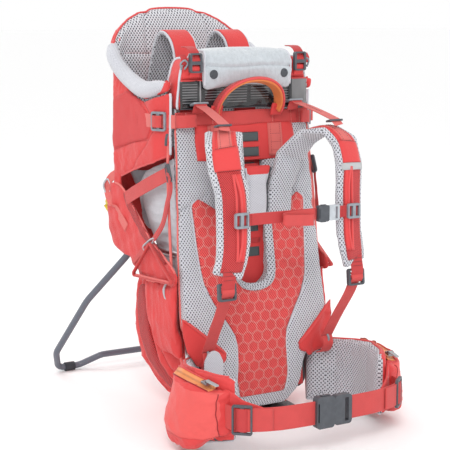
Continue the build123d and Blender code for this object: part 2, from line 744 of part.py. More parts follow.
chest_band = box((-126, CHEST_Y + 1.2, CHEST_Z - 10), (126, CHEST_Y + 3.0, CHEST_Z + 10))
chest_gap = box((38, CHEST_Y - 9, CHEST_Z - 20), (82, CHEST_Y + 9, CHEST_Z + 20))
with BuildPart() as chest_webbing:
    add(chest_band)
    add(chest_gap, mode=Mode.SUBTRACT)
save(chest_webbing.part, "chest_webbing")
chest_slider = wire_frame((112.5, CHEST_Y - 1.4, CHEST_Z), 26, 26, 5, 4, across=(0, 0, 1))
save(both_sides(cut(chest_slider, chest_band)), "chest_sliders")
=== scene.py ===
"""Visual model of the framed child carrier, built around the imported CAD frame."""
import math

import bpy
import bmesh
import numpy as np
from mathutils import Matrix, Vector
from mathutils.bvhtree import BVHTree
from mathutils.geometry import delaunay_2d_cdt


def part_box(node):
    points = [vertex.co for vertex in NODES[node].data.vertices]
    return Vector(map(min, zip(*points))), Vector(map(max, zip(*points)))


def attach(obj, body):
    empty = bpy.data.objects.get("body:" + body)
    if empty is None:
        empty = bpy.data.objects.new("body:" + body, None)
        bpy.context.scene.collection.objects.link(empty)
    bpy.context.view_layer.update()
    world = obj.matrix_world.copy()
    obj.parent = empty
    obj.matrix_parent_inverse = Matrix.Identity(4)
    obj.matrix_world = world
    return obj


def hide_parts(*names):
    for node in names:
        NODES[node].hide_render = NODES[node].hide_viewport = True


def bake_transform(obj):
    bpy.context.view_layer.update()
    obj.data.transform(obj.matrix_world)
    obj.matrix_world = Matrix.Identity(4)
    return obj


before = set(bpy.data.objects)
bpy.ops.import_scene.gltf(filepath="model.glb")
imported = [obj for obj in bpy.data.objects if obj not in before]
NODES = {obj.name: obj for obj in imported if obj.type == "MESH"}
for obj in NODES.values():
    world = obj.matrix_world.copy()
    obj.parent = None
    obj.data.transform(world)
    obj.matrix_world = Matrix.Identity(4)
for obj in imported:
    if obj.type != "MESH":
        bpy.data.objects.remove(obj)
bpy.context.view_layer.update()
MM = 0.001                       # the code works in millimetres

# ------------------------------------------------------------------ materials

CORAL = (0.70, 0.046, 0.046)
CORAL_PALE = (0.77, 0.098, 0.090)
# Darker coral, used only as painted shade in the slot of the shoulder rails.
CORAL_PAINTED_SHADE = (0.46, 0.020, 0.024)
WEBBING = (0.66, 0.062, 0.060)
WEBBING_PALE = (0.78, 0.155, 0.140)
GREY_MESH = (0.64, 0.645, 0.695)
ORANGE = (0.90, 0.26, 0.07)


class Nodes:
    """A material under construction: short calls for the node tree."""

    def __init__(self, name, roughness, metallic=0.0, sheen=0.0, sheen_roughness=0.5, coat=0.0):
        self.material = bpy.data.materials.new(name)
        self.material.use_nodes = True
        self.tree = self.material.node_tree
        self.shader = self.tree.nodes["Principled BSDF"]
        self.shader.inputs["Roughness"].default_value = roughness
        self.shader.inputs["Metallic"].default_value = metallic
        self.shader.inputs["Sheen Weight"].default_value = sheen
        self.shader.inputs["Sheen Roughness"].default_value = sheen_roughness
        self.shader.inputs["Coat Weight"].default_value = coat
        self.bumps = None

    def _set(self, socket, value):
        if isinstance(value, bpy.types.NodeSocket):
            self.tree.links.new(value, socket)
        else:
            socket.default_value = value

    def math(self, op, a, b=None, c=None, clamp=False):
        n = self.tree.nodes.new("ShaderNodeMath")
        n.operation, n.use_clamp = op, clamp
        for i, v in enumerate((a, b, c)):
            if v is not None:
                self._set(n.inputs[i], v)
        return n.outputs[0]

    def vector(self, op, a, b=None, c=None, scale=None):
        n = self.tree.nodes.new("ShaderNodeVectorMath")
        n.operation = op
        for i, v in enumerate((a, b, c)):
            if v is not None:
                self._set(n.inputs[i], v)
        if scale is not None:
            n.inputs["Scale"].default_value = scale
        return n.outputs[1] if op in ("LENGTH", "DOT_PRODUCT", "DISTANCE") else n.outputs[0]

    def combine(self, x, y, z=0.0):
        n = self.tree.nodes.new("ShaderNodeCombineXYZ")
        for i, v in enumerate((x, y, z)):
            self._set(n.inputs[i], v)
        return n.outputs[0]

    def separate(self, v):
        n = self.tree.nodes.new("ShaderNodeSeparateXYZ")
        self._set(n.inputs[0], v)
        return n.outputs

    def step(self, value, low, high, a=0.0, b=1.0):
        n = self.tree.nodes.new("ShaderNodeMapRange")
        n.interpolation_type = "SMOOTHSTEP"
        for i, v in zip(range(5), (value, low, high, a, b)):
            self._set(n.inputs[i], v)
        return n.outputs[0]

    def mix_vector(self, factor, a, b):
        n = self.tree.nodes.new("ShaderNodeMix")
        n.data_type = "VECTOR"
        self._set(n.inputs[0], factor)
        self._set(n.inputs[4], a)
        self._set(n.inputs[5], b)
        return n.outputs[1]

    def mix_color(self, factor, a, b):
        n = self.tree.nodes.new("ShaderNodeMix")
        n.data_type = "RGBA"
        self._set(n.inputs[0], factor)
        for i, v in ((6, a), (7, b)):
            self._set(n.inputs[i], (*v, 1) if isinstance(v, tuple) else v)
        return n.outputs[2]

    def noise(self, at, scale, detail=2.0, roughness=0.5):
        n = self.tree.nodes.new("ShaderNodeTexNoise")
        self._set(n.inputs["Vector"], at)
        n.inputs["Scale"].default_value = scale
        n.inputs["Detail"].default_value = detail
        n.inputs["Roughness"].default_value = roughness
        return n.outputs["Fac"]

    def place(self):
        """Position on the piece in millimetres."""
        n = self.tree.nodes.new("ShaderNodeTexCoord")
        return self.vector("SCALE", n.outputs["Object"], scale=1000.0)

    def sheet(self):
        """Millimetres over the surface, taken from whichever side of the piece a point faces."""
        n = self.tree.nodes.new("ShaderNodeTexCoord")
        p = self.separate(self.vector("SCALE", n.outputs["Object"], scale=1000.0))
        a = self.separate(self.vector("ABSOLUTE", n.outputs["Normal"]))
        sideways = self.math("GREATER_THAN", a[0], self.math("MAXIMUM", a[1], a[2]))
        upward = self.math("GREATER_THAN", a[2], self.math("MAXIMUM", a[0], a[1]))
        v = self.mix_vector(sideways, self.combine(p[0], p[2]), self.combine(p[1], p[2]))
        return self.mix_vector(upward, v, self.combine(p[0], p[1]))

    def along(self):
        """Millimetres across and along a strap."""
        n = self.tree.nodes.new("ShaderNodeTexCoord")
        return self.vector("SCALE", n.outputs["UV"], scale=1000.0)

    def color(self, value):
        self._set(self.shader.inputs["Base Color"], (*value, 1) if isinstance(value, tuple) else value)

    def rough(self, value):
        self._set(self.shader.inputs["Roughness"], value)

    def bump(self, height, distance_mm, strength=1.0):
        n = self.tree.nodes.new("ShaderNodeBump")
        n.inputs["Strength"].default_value = strength
        n.inputs["Distance"].default_value = distance_mm * MM
        self._set(n.inputs["Height"], height)
        if self.bumps is not None:
            self._set(n.inputs["Normal"], self.bumps)
        self.bumps = n.outputs[0]
        self._set(self.shader.inputs["Normal"], self.bumps)

    def shade(self, at, color, spread, size_mm, tint=0.85):
        """Uneven colour: the tone drifts over size_mm."""
        drift = self.step(self.noise(at, 1 / size_mm, 3.0), 0.3, 0.7)
        dark = tuple(c * tint for c in color)
        return self.mix_color(self.math("MULTIPLY", drift, spread), color, dark)

    def lattice(self, at, pitch_x, pitch_y, radius_x, radius_y):
        """Distance from the nearest hole's centre in staggered rows: 1 at its edge."""
        p = self.separate(at)
        u, v = self.math("DIVIDE", p[0], pitch_x), self.math("DIVIDE", p[1], pitch_y)
        a, b = self.math("ADD", u, v), self.math("SUBTRACT", u, v)
        fa = self.math("SUBTRACT", a, self.math("ROUND", a))
        fb = self.math("SUBTRACT", b, self.math("ROUND", b))
        du = self.math("MULTIPLY", self.math("ADD", fa, fb), pitch_x / 2 / radius_x)
        dv = self.math("MULTIPLY", self.math("SUBTRACT", fa, fb), pitch_y / 2 / radius_y)
        return self.vector("LENGTH", self.combine(du, dv))

    def hexagons(self, at, pitch):
        """0 in the middle of a cell, 0.5 on the line between two cells."""
        r = (1.0, math.sqrt(3), 1.0)
        half = (0.5, math.sqrt(3) / 2, 0.0)
        p = self.vector("SCALE", at, scale=1 / pitch)
        first = self.vector("SUBTRACT", self.vector("WRAP", p, r, (0, 0, -1.0)), half)
        moved = self.vector("SUBTRACT", p, half)
        second = self.vector("SUBTRACT", self.vector("WRAP", moved, r, (0, 0, -1.0)), half)
        nearer = self.math("LESS_THAN", self.vector("LENGTH", self.vector("MULTIPLY", second, (1, 1, 0))),
                           self.vector("LENGTH", self.vector("MULTIPLY", first, (1, 1, 0))))
        q = self.vector("ABSOLUTE", self.mix_vector(nearer, first, second))
        slant = self.vector("DOT_PRODUCT", q, (0.5, math.sqrt(3) / 2, 0))
        return self.math("MAXIMUM", self.separate(q)[0], slant)


def woven(name, color, fold=1.0, spread=0.5, roughness=0.62, sheen=0.15, thread=1.1):
    """Plain-weave nylon with soft creases."""
    m = Nodes(name, roughness, sheen=sheen, sheen_roughness=0.4)
    at, flat = m.place(), m.sheet()
    p = m.separate(m.vector("SCALE", flat, scale=2 * math.pi / thread))
    weave = m.math("MULTIPLY", m.math("SINE", p[0]), m.math("SINE", p[1]))
    lights = m.shade(at, color, spread, 38.0)
    m.color(m.mix_color(m.step(weave, -1.0, 1.0, 0.10, 0.0), lights, tuple(c * 0.55 for c in color)))
    m.bump(weave, 0.16, 0.5)
    creases = m.noise(m.vector("MULTIPLY", at, (1.0, 1.0, 0.45)), 0.045, 3.0, 0.6)
    m.bump(creases, 3.2 * fold, 0.55)
    m.bump(m.noise(at, 0.16, 2.0), 0.7 * fold, 0.5)
    return m.material


def spacer_mesh(name, color, hole, pitch=(5.4, 7.4), radius=(1.05, 1.5), roughness=0.8, depth=1.2,
                straps=False, edge=(0.75, 1.25), sheen=0.35):
    """Open 3-D mesh: knitted face with rows of oval holes."""
    m = Nodes(name, roughness, sheen=sheen, sheen_roughness=0.6)
    at = m.along() if straps else m.sheet()
    d = m.lattice(at, *pitch, *radius)
    face = m.shade(m.place(), color, 0.5, 30.0, 0.88)
    p = m.separate(m.vector("SCALE", at, scale=2 * math.pi / 1.3))
    knit = m.math("MULTIPLY", m.math("SINE", p[0]), m.math("SINE", p[1]))
    face = m.mix_color(m.step(knit, -1.0, 1.0, 0.16, 0.0), face, tuple(c * 0.5 for c in color))
    rim = m.step(d, edge[0], edge[1])
    m.color(m.mix_color(rim, hole, face))
    m.bump(m.step(d, 0.4, 2.1), depth, 0.8)
    m.bump(knit, 0.15, 0.4)
    return m.material


HOLE_PITCH, HOLE_RADIUS, CELL_PITCH = (4.0, 5.2), (1.0, 1.4), 20.0


def honeycomb(name, color):
    """Red air mesh: fine holes under a raised net of large hexagons."""
    m = Nodes(name, 0.7, sheen=0.12)
    at = m.sheet()
    d = m.lattice(at, *HOLE_PITCH, *HOLE_RADIUS)
    cell = m.hexagons(at, CELL_PITCH)
    net = m.step(cell, 0.36, 0.49)
    base = m.shade(m.place(), color, 0.6, 26.0, 0.8)
    raised = m.mix_color(m.math("MULTIPLY", net, 0.75), base, (0.88, 0.30, 0.27))
    m.color(m.mix_color(m.step(d, 0.7, 1.3, 0.8, 0.0), raised, (0.24, 0.005, 0.009)))
    m.bump(net, 1.6, 0.7)
    m.bump(m.step(d, 0.5, 1.8), 0.6, 0.6)
    return m.material


def webbing(name, color, rib=1.7, stripe=0.0):
    """Woven strap: cross ribs and firm edges."""
    m = Nodes(name, 0.58, sheen=0.1, sheen_roughness=0.35)
    at = m.along()
    p = m.separate(at)
    chevron = m.math("MULTIPLY", m.math("ABSOLUTE", m.math("SINE", m.math("MULTIPLY", p[0], 1.1))), 0.8)
    ribs = m.math("SINE", m.math("ADD", m.math("MULTIPLY", p[1], 2 * math.pi / rib), chevron))
    threads = m.math("SINE", m.math("MULTIPLY", p[0], 2 * math.pi / 0.9))
    base = m.shade(at, color, 0.55, 24.0, 0.86)
    base = m.mix_color(m.step(ribs, -1.0, 0.6, 0.22, 0.0), base, tuple(c * 0.5 for c in color))
    if stripe:
        line = m.step(m.math("ABSOLUTE", p[0]), stripe, stripe + 0.8)
        base = m.mix_color(line, base, tuple(c * 0.72 for c in color))
    m.color(base)
    m.bump(ribs, 0.35, 0.55)
    m.bump(threads, 0.12, 0.4)
    return m.material


def moulded(name, color, roughness=0.42, grain=0.35):
    """Injection-moulded plastic with a spark-eroded grain and faintly lighter patches here and there."""
    m = Nodes(name, roughness)
    at = m.place()
    fine = m.noise(at, 2.4, 2.0)
    m.color(m.mix_color(m.step(m.noise(at, 0.09, 2.0), 0.35, 0.7, 0.0, 0.35), color,
                        tuple(min(1.0, c * 1.5 + 0.01) for c in color)))
    m.rough(m.step(m.noise(at, 0.25, 3.0), 0.3, 0.7, roughness - 0.06, roughness + 0.12))
    m.bump(fine, 0.12, grain)
    return m.material


def enamel(name, color, roughness, metallic=0.0, scratch=0.15):
    """Coated or drawn metal tube with faint lengthwise scuffs."""
    m = Nodes(name, roughness, metallic=metallic, coat=0.15)
    at = m.place()
    scuffs = m.noise(m.vector("MULTIPLY", at, (1.0, 1.0, 0.08)), 0.9, 3.0)
    worn = m.step(scuffs, 0.58, 0.8, 0.0, 0.4)
    m.color(m.mix_color(worn, color, tuple(min(1.0, c * 1.6 + 0.02) for c in color)))
    m.rough(m.step(scuffs, 0.3, 0.8, roughness - 0.04, roughness + 0.18))
    m.bump(m.noise(at, 0.8, 2.0), 0.05, scratch)
    return m.material


def fleece(name, color):
    """Short brushed pile."""
    m = Nodes(name, 0.92, sheen=0.8, sheen_roughness=0.6)
    at = m.place()
    pile = m.noise(at, 0.85, 4.0, 0.7)
    tuft = m.noise(m.vector("MULTIPLY", at, (1.0, 1.0, 0.6)), 0.16, 3.0, 0.65)
    tone = m.mix_color(m.step(tuft, 0.3, 0.7), tuple(c * 0.86 for c in color), color)
    m.color(m.mix_color(m.step(pile, 0.35, 0.6, 0.22, 0.0), tone, tuple(c * 0.6 for c in color)))
    m.bump(pile, 1.2, 0.7)
    m.bump(tuft, 2.0, 0.5)
    return m.material


def quilted(name, color):
    """Silver-grey nylon of the seat, lightly puckered."""
    m = Nodes(name, 0.5, sheen=0.3)
    at, flat = m.place(), m.sheet()
    p = m.separate(m.vector("SCALE", flat, scale=2 * math.pi / 1.0))
    weave = m.math("MULTIPLY", m.math("SINE", p[0]), m.math("SINE", p[1]))
    m.color(m.shade(at, color, 0.6, 30.0, 0.8))
    m.bump(m.noise(m.vector("MULTIPLY", at, (1.0, 0.5, 1.6)), 0.06, 3.0, 0.6), 5.0, 0.8)
    m.bump(weave, 0.12, 0.4)
    return m.material


def zipper_tape(name, color):
    """Coil zip under a lacquered tape: fine cross teeth beside a plain tape."""
    m = Nodes(name, 0.4, sheen=0.1)
    p = m.separate(m.along())
    teeth = m.math("SINE", m.math("MULTIPLY", p[1], 2 * math.pi / 1.9))
    coil = m.step(m.math("ABSOLUTE", p[0]), 1.4, 2.0, 1.0, 0.0)
    line = m.math("MULTIPLY", coil, m.step(teeth, -0.4, 0.6))
    ribs = m.math("SINE", m.math("MULTIPLY", p[0], 2 * math.pi / 1.2))
    base = m.mix_color(m.step(ribs, -1.0, 1.0, 0.18, 0.0), color, tuple(c * 0.55 for c in color))
    m.color(m.mix_color(m.math("MULTIPLY", coil, 0.35), base, tuple(c * 0.5 for c in color)))
    m.bump(line, 0.8, 0.8)
    m.bump(ribs, 0.15, 0.4)
    return m.material


def film(name, color, sheet_lines, ruled):
    """Smooth printed patch, left blank, with a few plain dividing lines."""
    m = Nodes(name, 0.2, coat=0.5)
    at = m.place()
    p = m.separate(at)
    base = m.mix_color(m.step(m.noise(at, 0.05, 2.0), 0.3, 0.7, 0.0, 0.5), color,
                       tuple(c * 2 + 0.004 for c in color))
    for low, high, tone in sheet_lines:
        band = m.math("MULTIPLY", m.math("GREATER_THAN", p[0], low), m.math("LESS_THAN", p[0], high))
        base = m.mix_color(band, base, tone)
    lines = m.step(m.math("SINE", m.math("MULTIPLY", p[2], 2 * math.pi / 4.6)), 0.35, 0.6)
    for low, high, foot, head in ruled:
        across = m.math("MULTIPLY", m.math("GREATER_THAN", p[0], low), m.math("LESS_THAN", p[0], high))
        up = m.math("MULTIPLY", m.math("GREATER_THAN", p[2], foot), m.math("LESS_THAN", p[2], head))
        block = m.math("MULTIPLY", m.math("MULTIPLY", across, up), lines)
        base = m.mix_color(m.math("MULTIPLY", block, 0.55), base, (0.30, 0.30, 0.31))
    m.color(base)
    m.bump(m.noise(at, 0.05, 3.0), 3.0, 0.8)
    return m.material


RED = woven("coral_nylon", CORAL, 1.0)
RED_PALE = woven("coral_nylon_pale", CORAL_PALE, 0.7, spread=0.3, roughness=0.7)
# Painted shade: the dark cloth in the shoulder rail's slot.
RED_PAINTED_SHADE = woven("coral_nylon_painted_shade", CORAL_PAINTED_SHADE, 0.6)
RED_SMOOTH = woven("coral_nylon_smooth", CORAL, 0.25, spread=0.3)
TRIM = woven("coral_trim", WEBBING_PALE, 0.1, spread=0.2, thread=0.8)
TRIM_DEEP = woven("coral_piping", (0.72, 0.07, 0.07), 0.1, spread=0.2, thread=0.8)
GREY_TRIM = woven("grey_binding", (0.62, 0.63, 0.68), 0.1, spread=0.2, thread=0.8, sheen=0.3)
DARK_TRIM = woven("dark_binding", (0.045, 0.05, 0.058), 0.1, spread=0.2, thread=0.8)
MESH = spacer_mesh("grey_spacer_mesh", GREY_MESH, (0.05, 0.05, 0.065))
# Open mesh with larger holes. Its grey is lighter than the back pad's mesh, which is painted light for the
# cabin's inside, where less lamp light reaches.
MESH_OPEN_LIT = spacer_mesh("grey_spacer_mesh_open_painted_light", (0.74, 0.745, 0.79), (0.04, 0.04, 0.055), (6.2, 8.4),
                       (1.35, 1.75), depth=1.6)
MESH_FINE = spacer_mesh("grey_fine_mesh", (0.66, 0.665, 0.71), (0.36, 0.37, 0.42), (3.2, 4.4), (0.7, 0.9),
                        depth=0.5)
RED_MESH = spacer_mesh("coral_fine_mesh", (0.72, 0.055, 0.055), (0.20, 0.008, 0.012), (3.2, 4.0), (0.8, 1.05),
                        depth=0.6, sheen=0.1)
RED_NET = spacer_mesh("coral_open_net", (0.80, 0.058, 0.058), (0.22, 0.008, 0.012), (3.8, 4.8), (1.2, 1.55),
                       depth=0.8, sheen=0.08)
RED_NET_SHADE = spacer_mesh("coral_tonal_net", (0.76, 0.055, 0.055), (0.46, 0.018, 0.022), (3.8, 5.0),
                            (1.0, 1.3), depth=0.6, sheen=0.08)
COMB = honeycomb("coral_honeycomb_mesh", (0.90, 0.090, 0.085))
STRAP = webbing("coral_webbing", WEBBING)
STRAP_PALE = webbing("coral_webbing_pale", WEBBING_PALE, 1.5)
STRAP_DEEP = webbing("coral_webbing_deep", (0.56, 0.038, 0.040))
ELASTIC = webbing("silver_elastic", (0.55, 0.56, 0.57), 1.2)
YELLOW_TAB = webbing("yellow_tab", (0.82, 0.60, 0.04), 1.2)
GRIP = webbing("dark_grip_tape", (0.075, 0.095, 0.10), 2.2)
HANDLE_ORANGE = webbing("orange_grip", ORANGE, 1.3)
THREAD = woven("coral_thread", (0.34, 0.014, 0.018), 0.1, spread=0.1, thread=0.5)
THREAD_PALE = woven("pale_thread", (0.86, 0.42, 0.38), 0.1, spread=0.1, thread=0.5)
THREAD_DARK = woven("dark_thread", (0.05, 0.03, 0.035), 0.1, spread=0.1, thread=0.5)
THREAD_GREY = woven("grey_thread", (0.40, 0.41, 0.45), 0.1, spread=0.1, thread=0.5)
SEAT = quilted("silver_seat_nylon", (0.60, 0.61, 0.65))
FLEECE = fleece("grey_fleece", (0.50, 0.545, 0.585))
ZIP = zipper_tape("orange_zip_tape", (0.83, 0.30, 0.10))
LABEL = film("blank_label_film", (0.012, 0.012, 0.014),
             [(-92.5, -89.5, (0.30, 0.30, 0.31)), (96, 99, (0.004, 0.004, 0.004)),
              (99, 140, (0.16, 0.16, 0.165))],
             [(-126, -97, 568, 604), (-82, -44, 574, 606), (-36, 4, 570, 606), (12, 50, 576, 606),
              (58, 92, 570, 604)])
PLASTIC = moulded("dark_moulding", (0.060, 0.066, 0.078))
PLASTIC_GREY = moulded("grey_moulding", (0.22, 0.245, 0.275))
PLASTIC_LIGHT = moulded("light_grey_moulding", (0.42, 0.45, 0.48))
BOARD = moulded("board_sheet", (0.05, 0.05, 0.055), 0.5)
BASE_CLOTH = woven("dark_base_fabric", (0.050, 0.052, 0.058), 0.4)
SNAP = moulded("snap_cap", (0.045, 0.05, 0.06), 0.3)
ENAMEL = enamel("blue_grey_enamel", (0.105, 0.118, 0.150), 0.34)
TUBE = enamel("satin_aluminium", (0.62, 0.63, 0.65), 0.34, metallic=1.0)
STEEL = enamel("brushed_steel", (0.50, 0.51, 0.53), 0.3, metallic=1.0)
ZIP_METAL = enamel("zip_metal", (0.30, 0.30, 0.31), 0.3, metallic=1.0)
RUBBER = moulded("foot_rubber", (0.030, 0.034, 0.042), 0.7, 0.6)
CORD = moulded("grey_cord_grip", (0.34, 0.36, 0.37), 0.6, 0.5)

# ------------------------------------------------------------------ mesh helpers


def add_mesh(name, verts_mm, faces, material, body="root", smooth=True, uvs=None):
    """New piece from points in millimetres; uvs is one pair in millimetres for each face corner."""
    me = bpy.data.meshes.new(name)
    me.from_pydata([tuple(np.asarray(v, float) * MM) for v in verts_mm], [], [tuple(f) for f in faces])
    if uvs is not None:
        layer = me.uv_layers.new(name="UVMap")
        layer.data.foreach_set("uv", (np.asarray(uvs, float) * MM).ravel())
    me.materials.append(material)
    me.shade_smooth() if smooth else None
    me.validate()
    o = bpy.data.objects.new(name, me)
    bpy.context.scene.collection.objects.link(o)
    if body:
        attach(o, body)
    return o


def bake_modifiers(o):
    """Turns the piece's modifiers into its mesh."""
    dg = bpy.context.evaluated_depsgraph_get()
    me = bpy.data.meshes.new_from_object(o.evaluated_get(dg), depsgraph=dg)
    o.modifiers.clear()
    o.data = me
    me.shade_smooth()
    return o


def points(o):
    """The piece's points, in metres."""
    co = np.zeros(len(o.data.vertices) * 3)
    o.data.vertices.foreach_get("co", co)
    return co.reshape(-1, 3)


def set_points(o, co):
    o.data.vertices.foreach_set("co", np.ascontiguousarray(co).ravel())
    o.data.update()


def normals(o):
    no = np.zeros(len(o.data.vertices) * 3)
    o.data.vertex_normals.foreach_get("vector", no)
    return no.reshape(-1, 3)


def bvh(*objects):
    """Search tree over several pieces, in metres."""
    verts, faces = [], []
    for o in objects:
        base = len(verts)
        verts += [tuple(p) for p in points(o)]
        faces += [[base + i for i in f.vertices] for f in o.data.polygons]
    return BVHTree.FromPolygons(verts, faces)


def copy_node(node, name):
    """A new piece with the mesh of a CAD node, without its material."""
    o = bpy.data.objects.new(name, NODES[node].data.copy())
    o.data.materials.clear()
    bpy.context.scene.collection.objects.link(o)
    return o


def dress(node, material):
    """Gives a CAD node's own mesh one material."""
    slots = NODES[node].data.materials
    slots.clear()
    slots.append(material)


def face_outwards(o):
    """Turns every face of a closed piece outwards."""
    bm = bmesh.new()
    bm.from_mesh(o.data)
    bmesh.ops.recalc_face_normals(bm, faces=bm.faces)
    bm.to_mesh(o.data)
    bm.free()


def solidify(o, thick_mm, offset=0.0):
    """Gives an open sheet its thickness."""
    mod = o.modifiers.new("Solidify", "SOLIDIFY")
    mod.thickness, mod.offset = thick_mm * MM, offset
    return bake_modifiers(o)


def remesh(o, voxel_mm):
    mod = o.modifiers.new("Remesh", "REMESH")
    mod.mode, mod.voxel_size = "VOXEL", voxel_mm * MM
    return bake_modifiers(o)


def smooth_mesh(o, turns, factor=0.5):
    mod = o.modifiers.new("Smooth", "SMOOTH")
    mod.factor, mod.iterations = factor, turns
    return bake_modifiers(o)


def subdivide(o, levels=1):
    mod = o.modifiers.new("Subdivision", "SUBSURF")
    mod.levels = mod.render_levels = levels
    return bake_modifiers(o)


def inflate(o, cap_mm, pressure=4.0, frames=20):
    """Swells the piece with a short cloth simulation; no point moves further than cap_mm."""
    before = points(o)
    mod = o.modifiers.new("Cloth", "CLOTH")
    s = mod.settings
    s.quality = 5
    s.mass = 0.3
    s.use_pressure, s.uniform_pressure_force = True, pressure
    s.effector_weights.gravity = 0
    mod.collision_settings.use_collision = False
    mod.point_cache.frame_start, mod.point_cache.frame_end = 1, frames
    scene = bpy.context.scene
    for f in range(1, frames + 1):
        scene.frame_set(f)
    bake_modifiers(o)
    scene.frame_set(1)
    moved = points(o) - before
    length = np.linalg.norm(moved, axis=1, keepdims=True)
    cap = cap_mm * MM
    set_points(o, before + moved * (cap * np.tanh(length / cap) / np.maximum(length, 1e-9)))
    return o


def folds(o, amount_mm, size_mm, seed, along=(0, 0, 1), stretch=2.5, where=None, sharp=1.5):
    """Creases that run mostly along one direction. where(points in mm) gives a weight for each point."""
    rng = np.random.default_rng(seed)
    co, no = points(o), normals(o)
    p = co / MM
    a = np.array(along, float)
    a /= np.linalg.norm(a)
    q = p - np.outer(p @ a, a) * (1 - 1 / stretch)
    total = np.zeros(len(p))
    for octave in range(3):
        f = 2 * math.pi / size_mm * (1.7 ** octave)
        for _ in range(3):
            d = rng.normal(size=3)
            d /= np.linalg.norm(d)
            w = rng.normal(size=3)
            w /= np.linalg.norm(w)
            bend = 0.9 * np.sin(q @ w * f * 0.6 + rng.uniform(0, 6.28))
            wave = 1 - np.abs(np.sin(q @ d * f * 0.5 + bend + rng.uniform(0, 6.28))) ** (1 / sharp)
            total += wave * (0.55 ** octave)
    total -= total.mean()
    weight = 1.0 if where is None else np.asarray(where(p), float)
    set_points(o, co + no * (total * weight * amount_mm * MM / 1.6)[:, None])
    return o


def resample(pts, step=4.0, smooth=True, closed=False):
    """Points a step apart along a smooth or straight-run line."""
    p = np.array(pts, float)
    if closed:
        p = np.vstack([p, p[:1]])
    if smooth and len(p) > 2:
        ends = (p[-2], p[1]) if closed else (2 * p[0] - p[1], 2 * p[-1] - p[-2])
        q = np.vstack([ends[0], p, ends[1]])
        out = []
        for i in range(1, len(q) - 2):
            t = np.linspace(0, 1, 12, endpoint=False)[:, None]
            a, b, c, d = q[i - 1], q[i], q[i + 1], q[i + 2]
            out.append(0.5 * (2 * b + (c - a) * t + (2 * a - 5 * b + 4 * c - d) * t ** 2
                              + (3 * b - a - 3 * c + d) * t ** 3))
        p = np.vstack(out + [q[-2:-1]])
    run = np.concatenate([[0], np.cumsum(np.linalg.norm(np.diff(p, axis=0), axis=1))])
    n = max(2, int(round(run[-1] / step)) + 1)
    s = np.linspace(0, run[-1], n)
    out = np.stack([np.interp(s, run, p[:, k]) for k in range(p.shape[1])], 1)
    return out[:-1] if closed else out


def tangents(p, closed=False):
    if closed:
        t = np.roll(p, -1, 0) - np.roll(p, 1, 0)
    else:
        t = np.gradient(p, axis=0)
    return t / np.maximum(np.linalg.norm(t, axis=1, keepdims=True), 1e-9)


def sweep(name, path, section, side, material, body="root", closed=False, taper=None, smooth=True):
    """Closed section (across, out) swept along a resampled path; side is the section's across direction."""
    p = np.asarray(path, float)
    t = tangents(p, closed)
    side = np.array(side, float)
    sides = np.tile(side, (len(p), 1)) if side.ndim == 1 else side
    x = sides - t * np.sum(sides * t, 1, keepdims=True)
    x /= np.maximum(np.linalg.norm(x, axis=1, keepdims=True), 1e-9)
    y = np.cross(t, x)
    sec = np.asarray(section, float)
    m = len(sec)
    k = np.ones(len(p)) if taper is None else np.asarray(taper, float)
    verts = [p[i] + x[i] * sec[j, 0] * k[i] + y[i] * sec[j, 1] for i in range(len(p)) for j in range(m)]
    run = np.concatenate([[0], np.cumsum(np.linalg.norm(np.diff(p, axis=0), axis=1))])
    faces, uvs = [], []
    rings = len(p) if closed else len(p) - 1
    for i in range(rings):
        n = (i + 1) % len(p)
        v1 = run[i + 1] if i + 1 < len(run) else run[-1] + (run[1] - run[0])
        for j in range(m):
            l = (j + 1) % m
            faces.append((i * m + j, i * m + l, n * m + l, n * m + j))
            uvs += [(sec[j, 0], run[i]), (sec[l, 0], run[i]), (sec[l, 0], v1), (sec[j, 0], v1)]
    if not closed:
        faces.append(tuple(range(m))[::-1])
        uvs += [(sec[j, 0], 0) for j in range(m)][::-1]
        last = (len(p) - 1) * m
        faces.append(tuple(last + j for j in range(m)))
        uvs += [(sec[j, 0], run[-1]) for j in range(m)]
    o = add_mesh(name, verts, faces, material, body, smooth, uvs)
    face_outwards(o)
    return o


def strap(name, pts, width, thick, side, material, body="root", step=5.0, smooth=True, taper=None):
    """Flat webbing with rounded selvedges; side is its width direction, one or one for each point."""
    path = resample(pts, step, smooth)
    if np.ndim(side) == 2:
        rows = np.array(side, float)
        s = np.linspace(0, len(rows) - 1, len(path))
        side = np.stack([np.interp(s, range(len(rows)), rows[:, k]) for k in range(3)], 1)
    w, t, e = width / 2, thick / 2, min(thick * 0.9, width / 6)
    section = [(-w, -t * 0.3), (-w + e * 0.35, -t), (-w + e, -t * 0.9), (0, -t * 0.9), (w - e, -t * 0.9),
               (w - e * 0.35, -t), (w, -t * 0.3), (w, t * 0.3), (w - e * 0.35, t), (w - e, t * 0.9),
               (0, t * 0.9), (-w + e, t * 0.9), (-w + e * 0.35, t), (-w, t * 0.3)]
    o = sweep(name, path, section, side, material, body, taper=taper)
    return o


def cord_tube(name, path, radius, material, body="root", closed=False, sides=10, flat=1.0):
    """Round piping or moulded rod along a line that is already resampled."""
    p = np.asarray(path, float)
    t = tangents(p, closed)
    ref = np.array([0.31, 0.22, 0.92]) if abs(t[:, 2]).mean() < 0.8 else np.array([0.9, 0.3, 0.1])
    side = np.cross(t, ref)
    a = np.linspace(0, 2 * math.pi, sides, endpoint=False)
    section = np.stack([np.cos(a) * radius, np.sin(a) * radius * flat], 1)
    return sweep(name, p, section, side, material, body, closed)


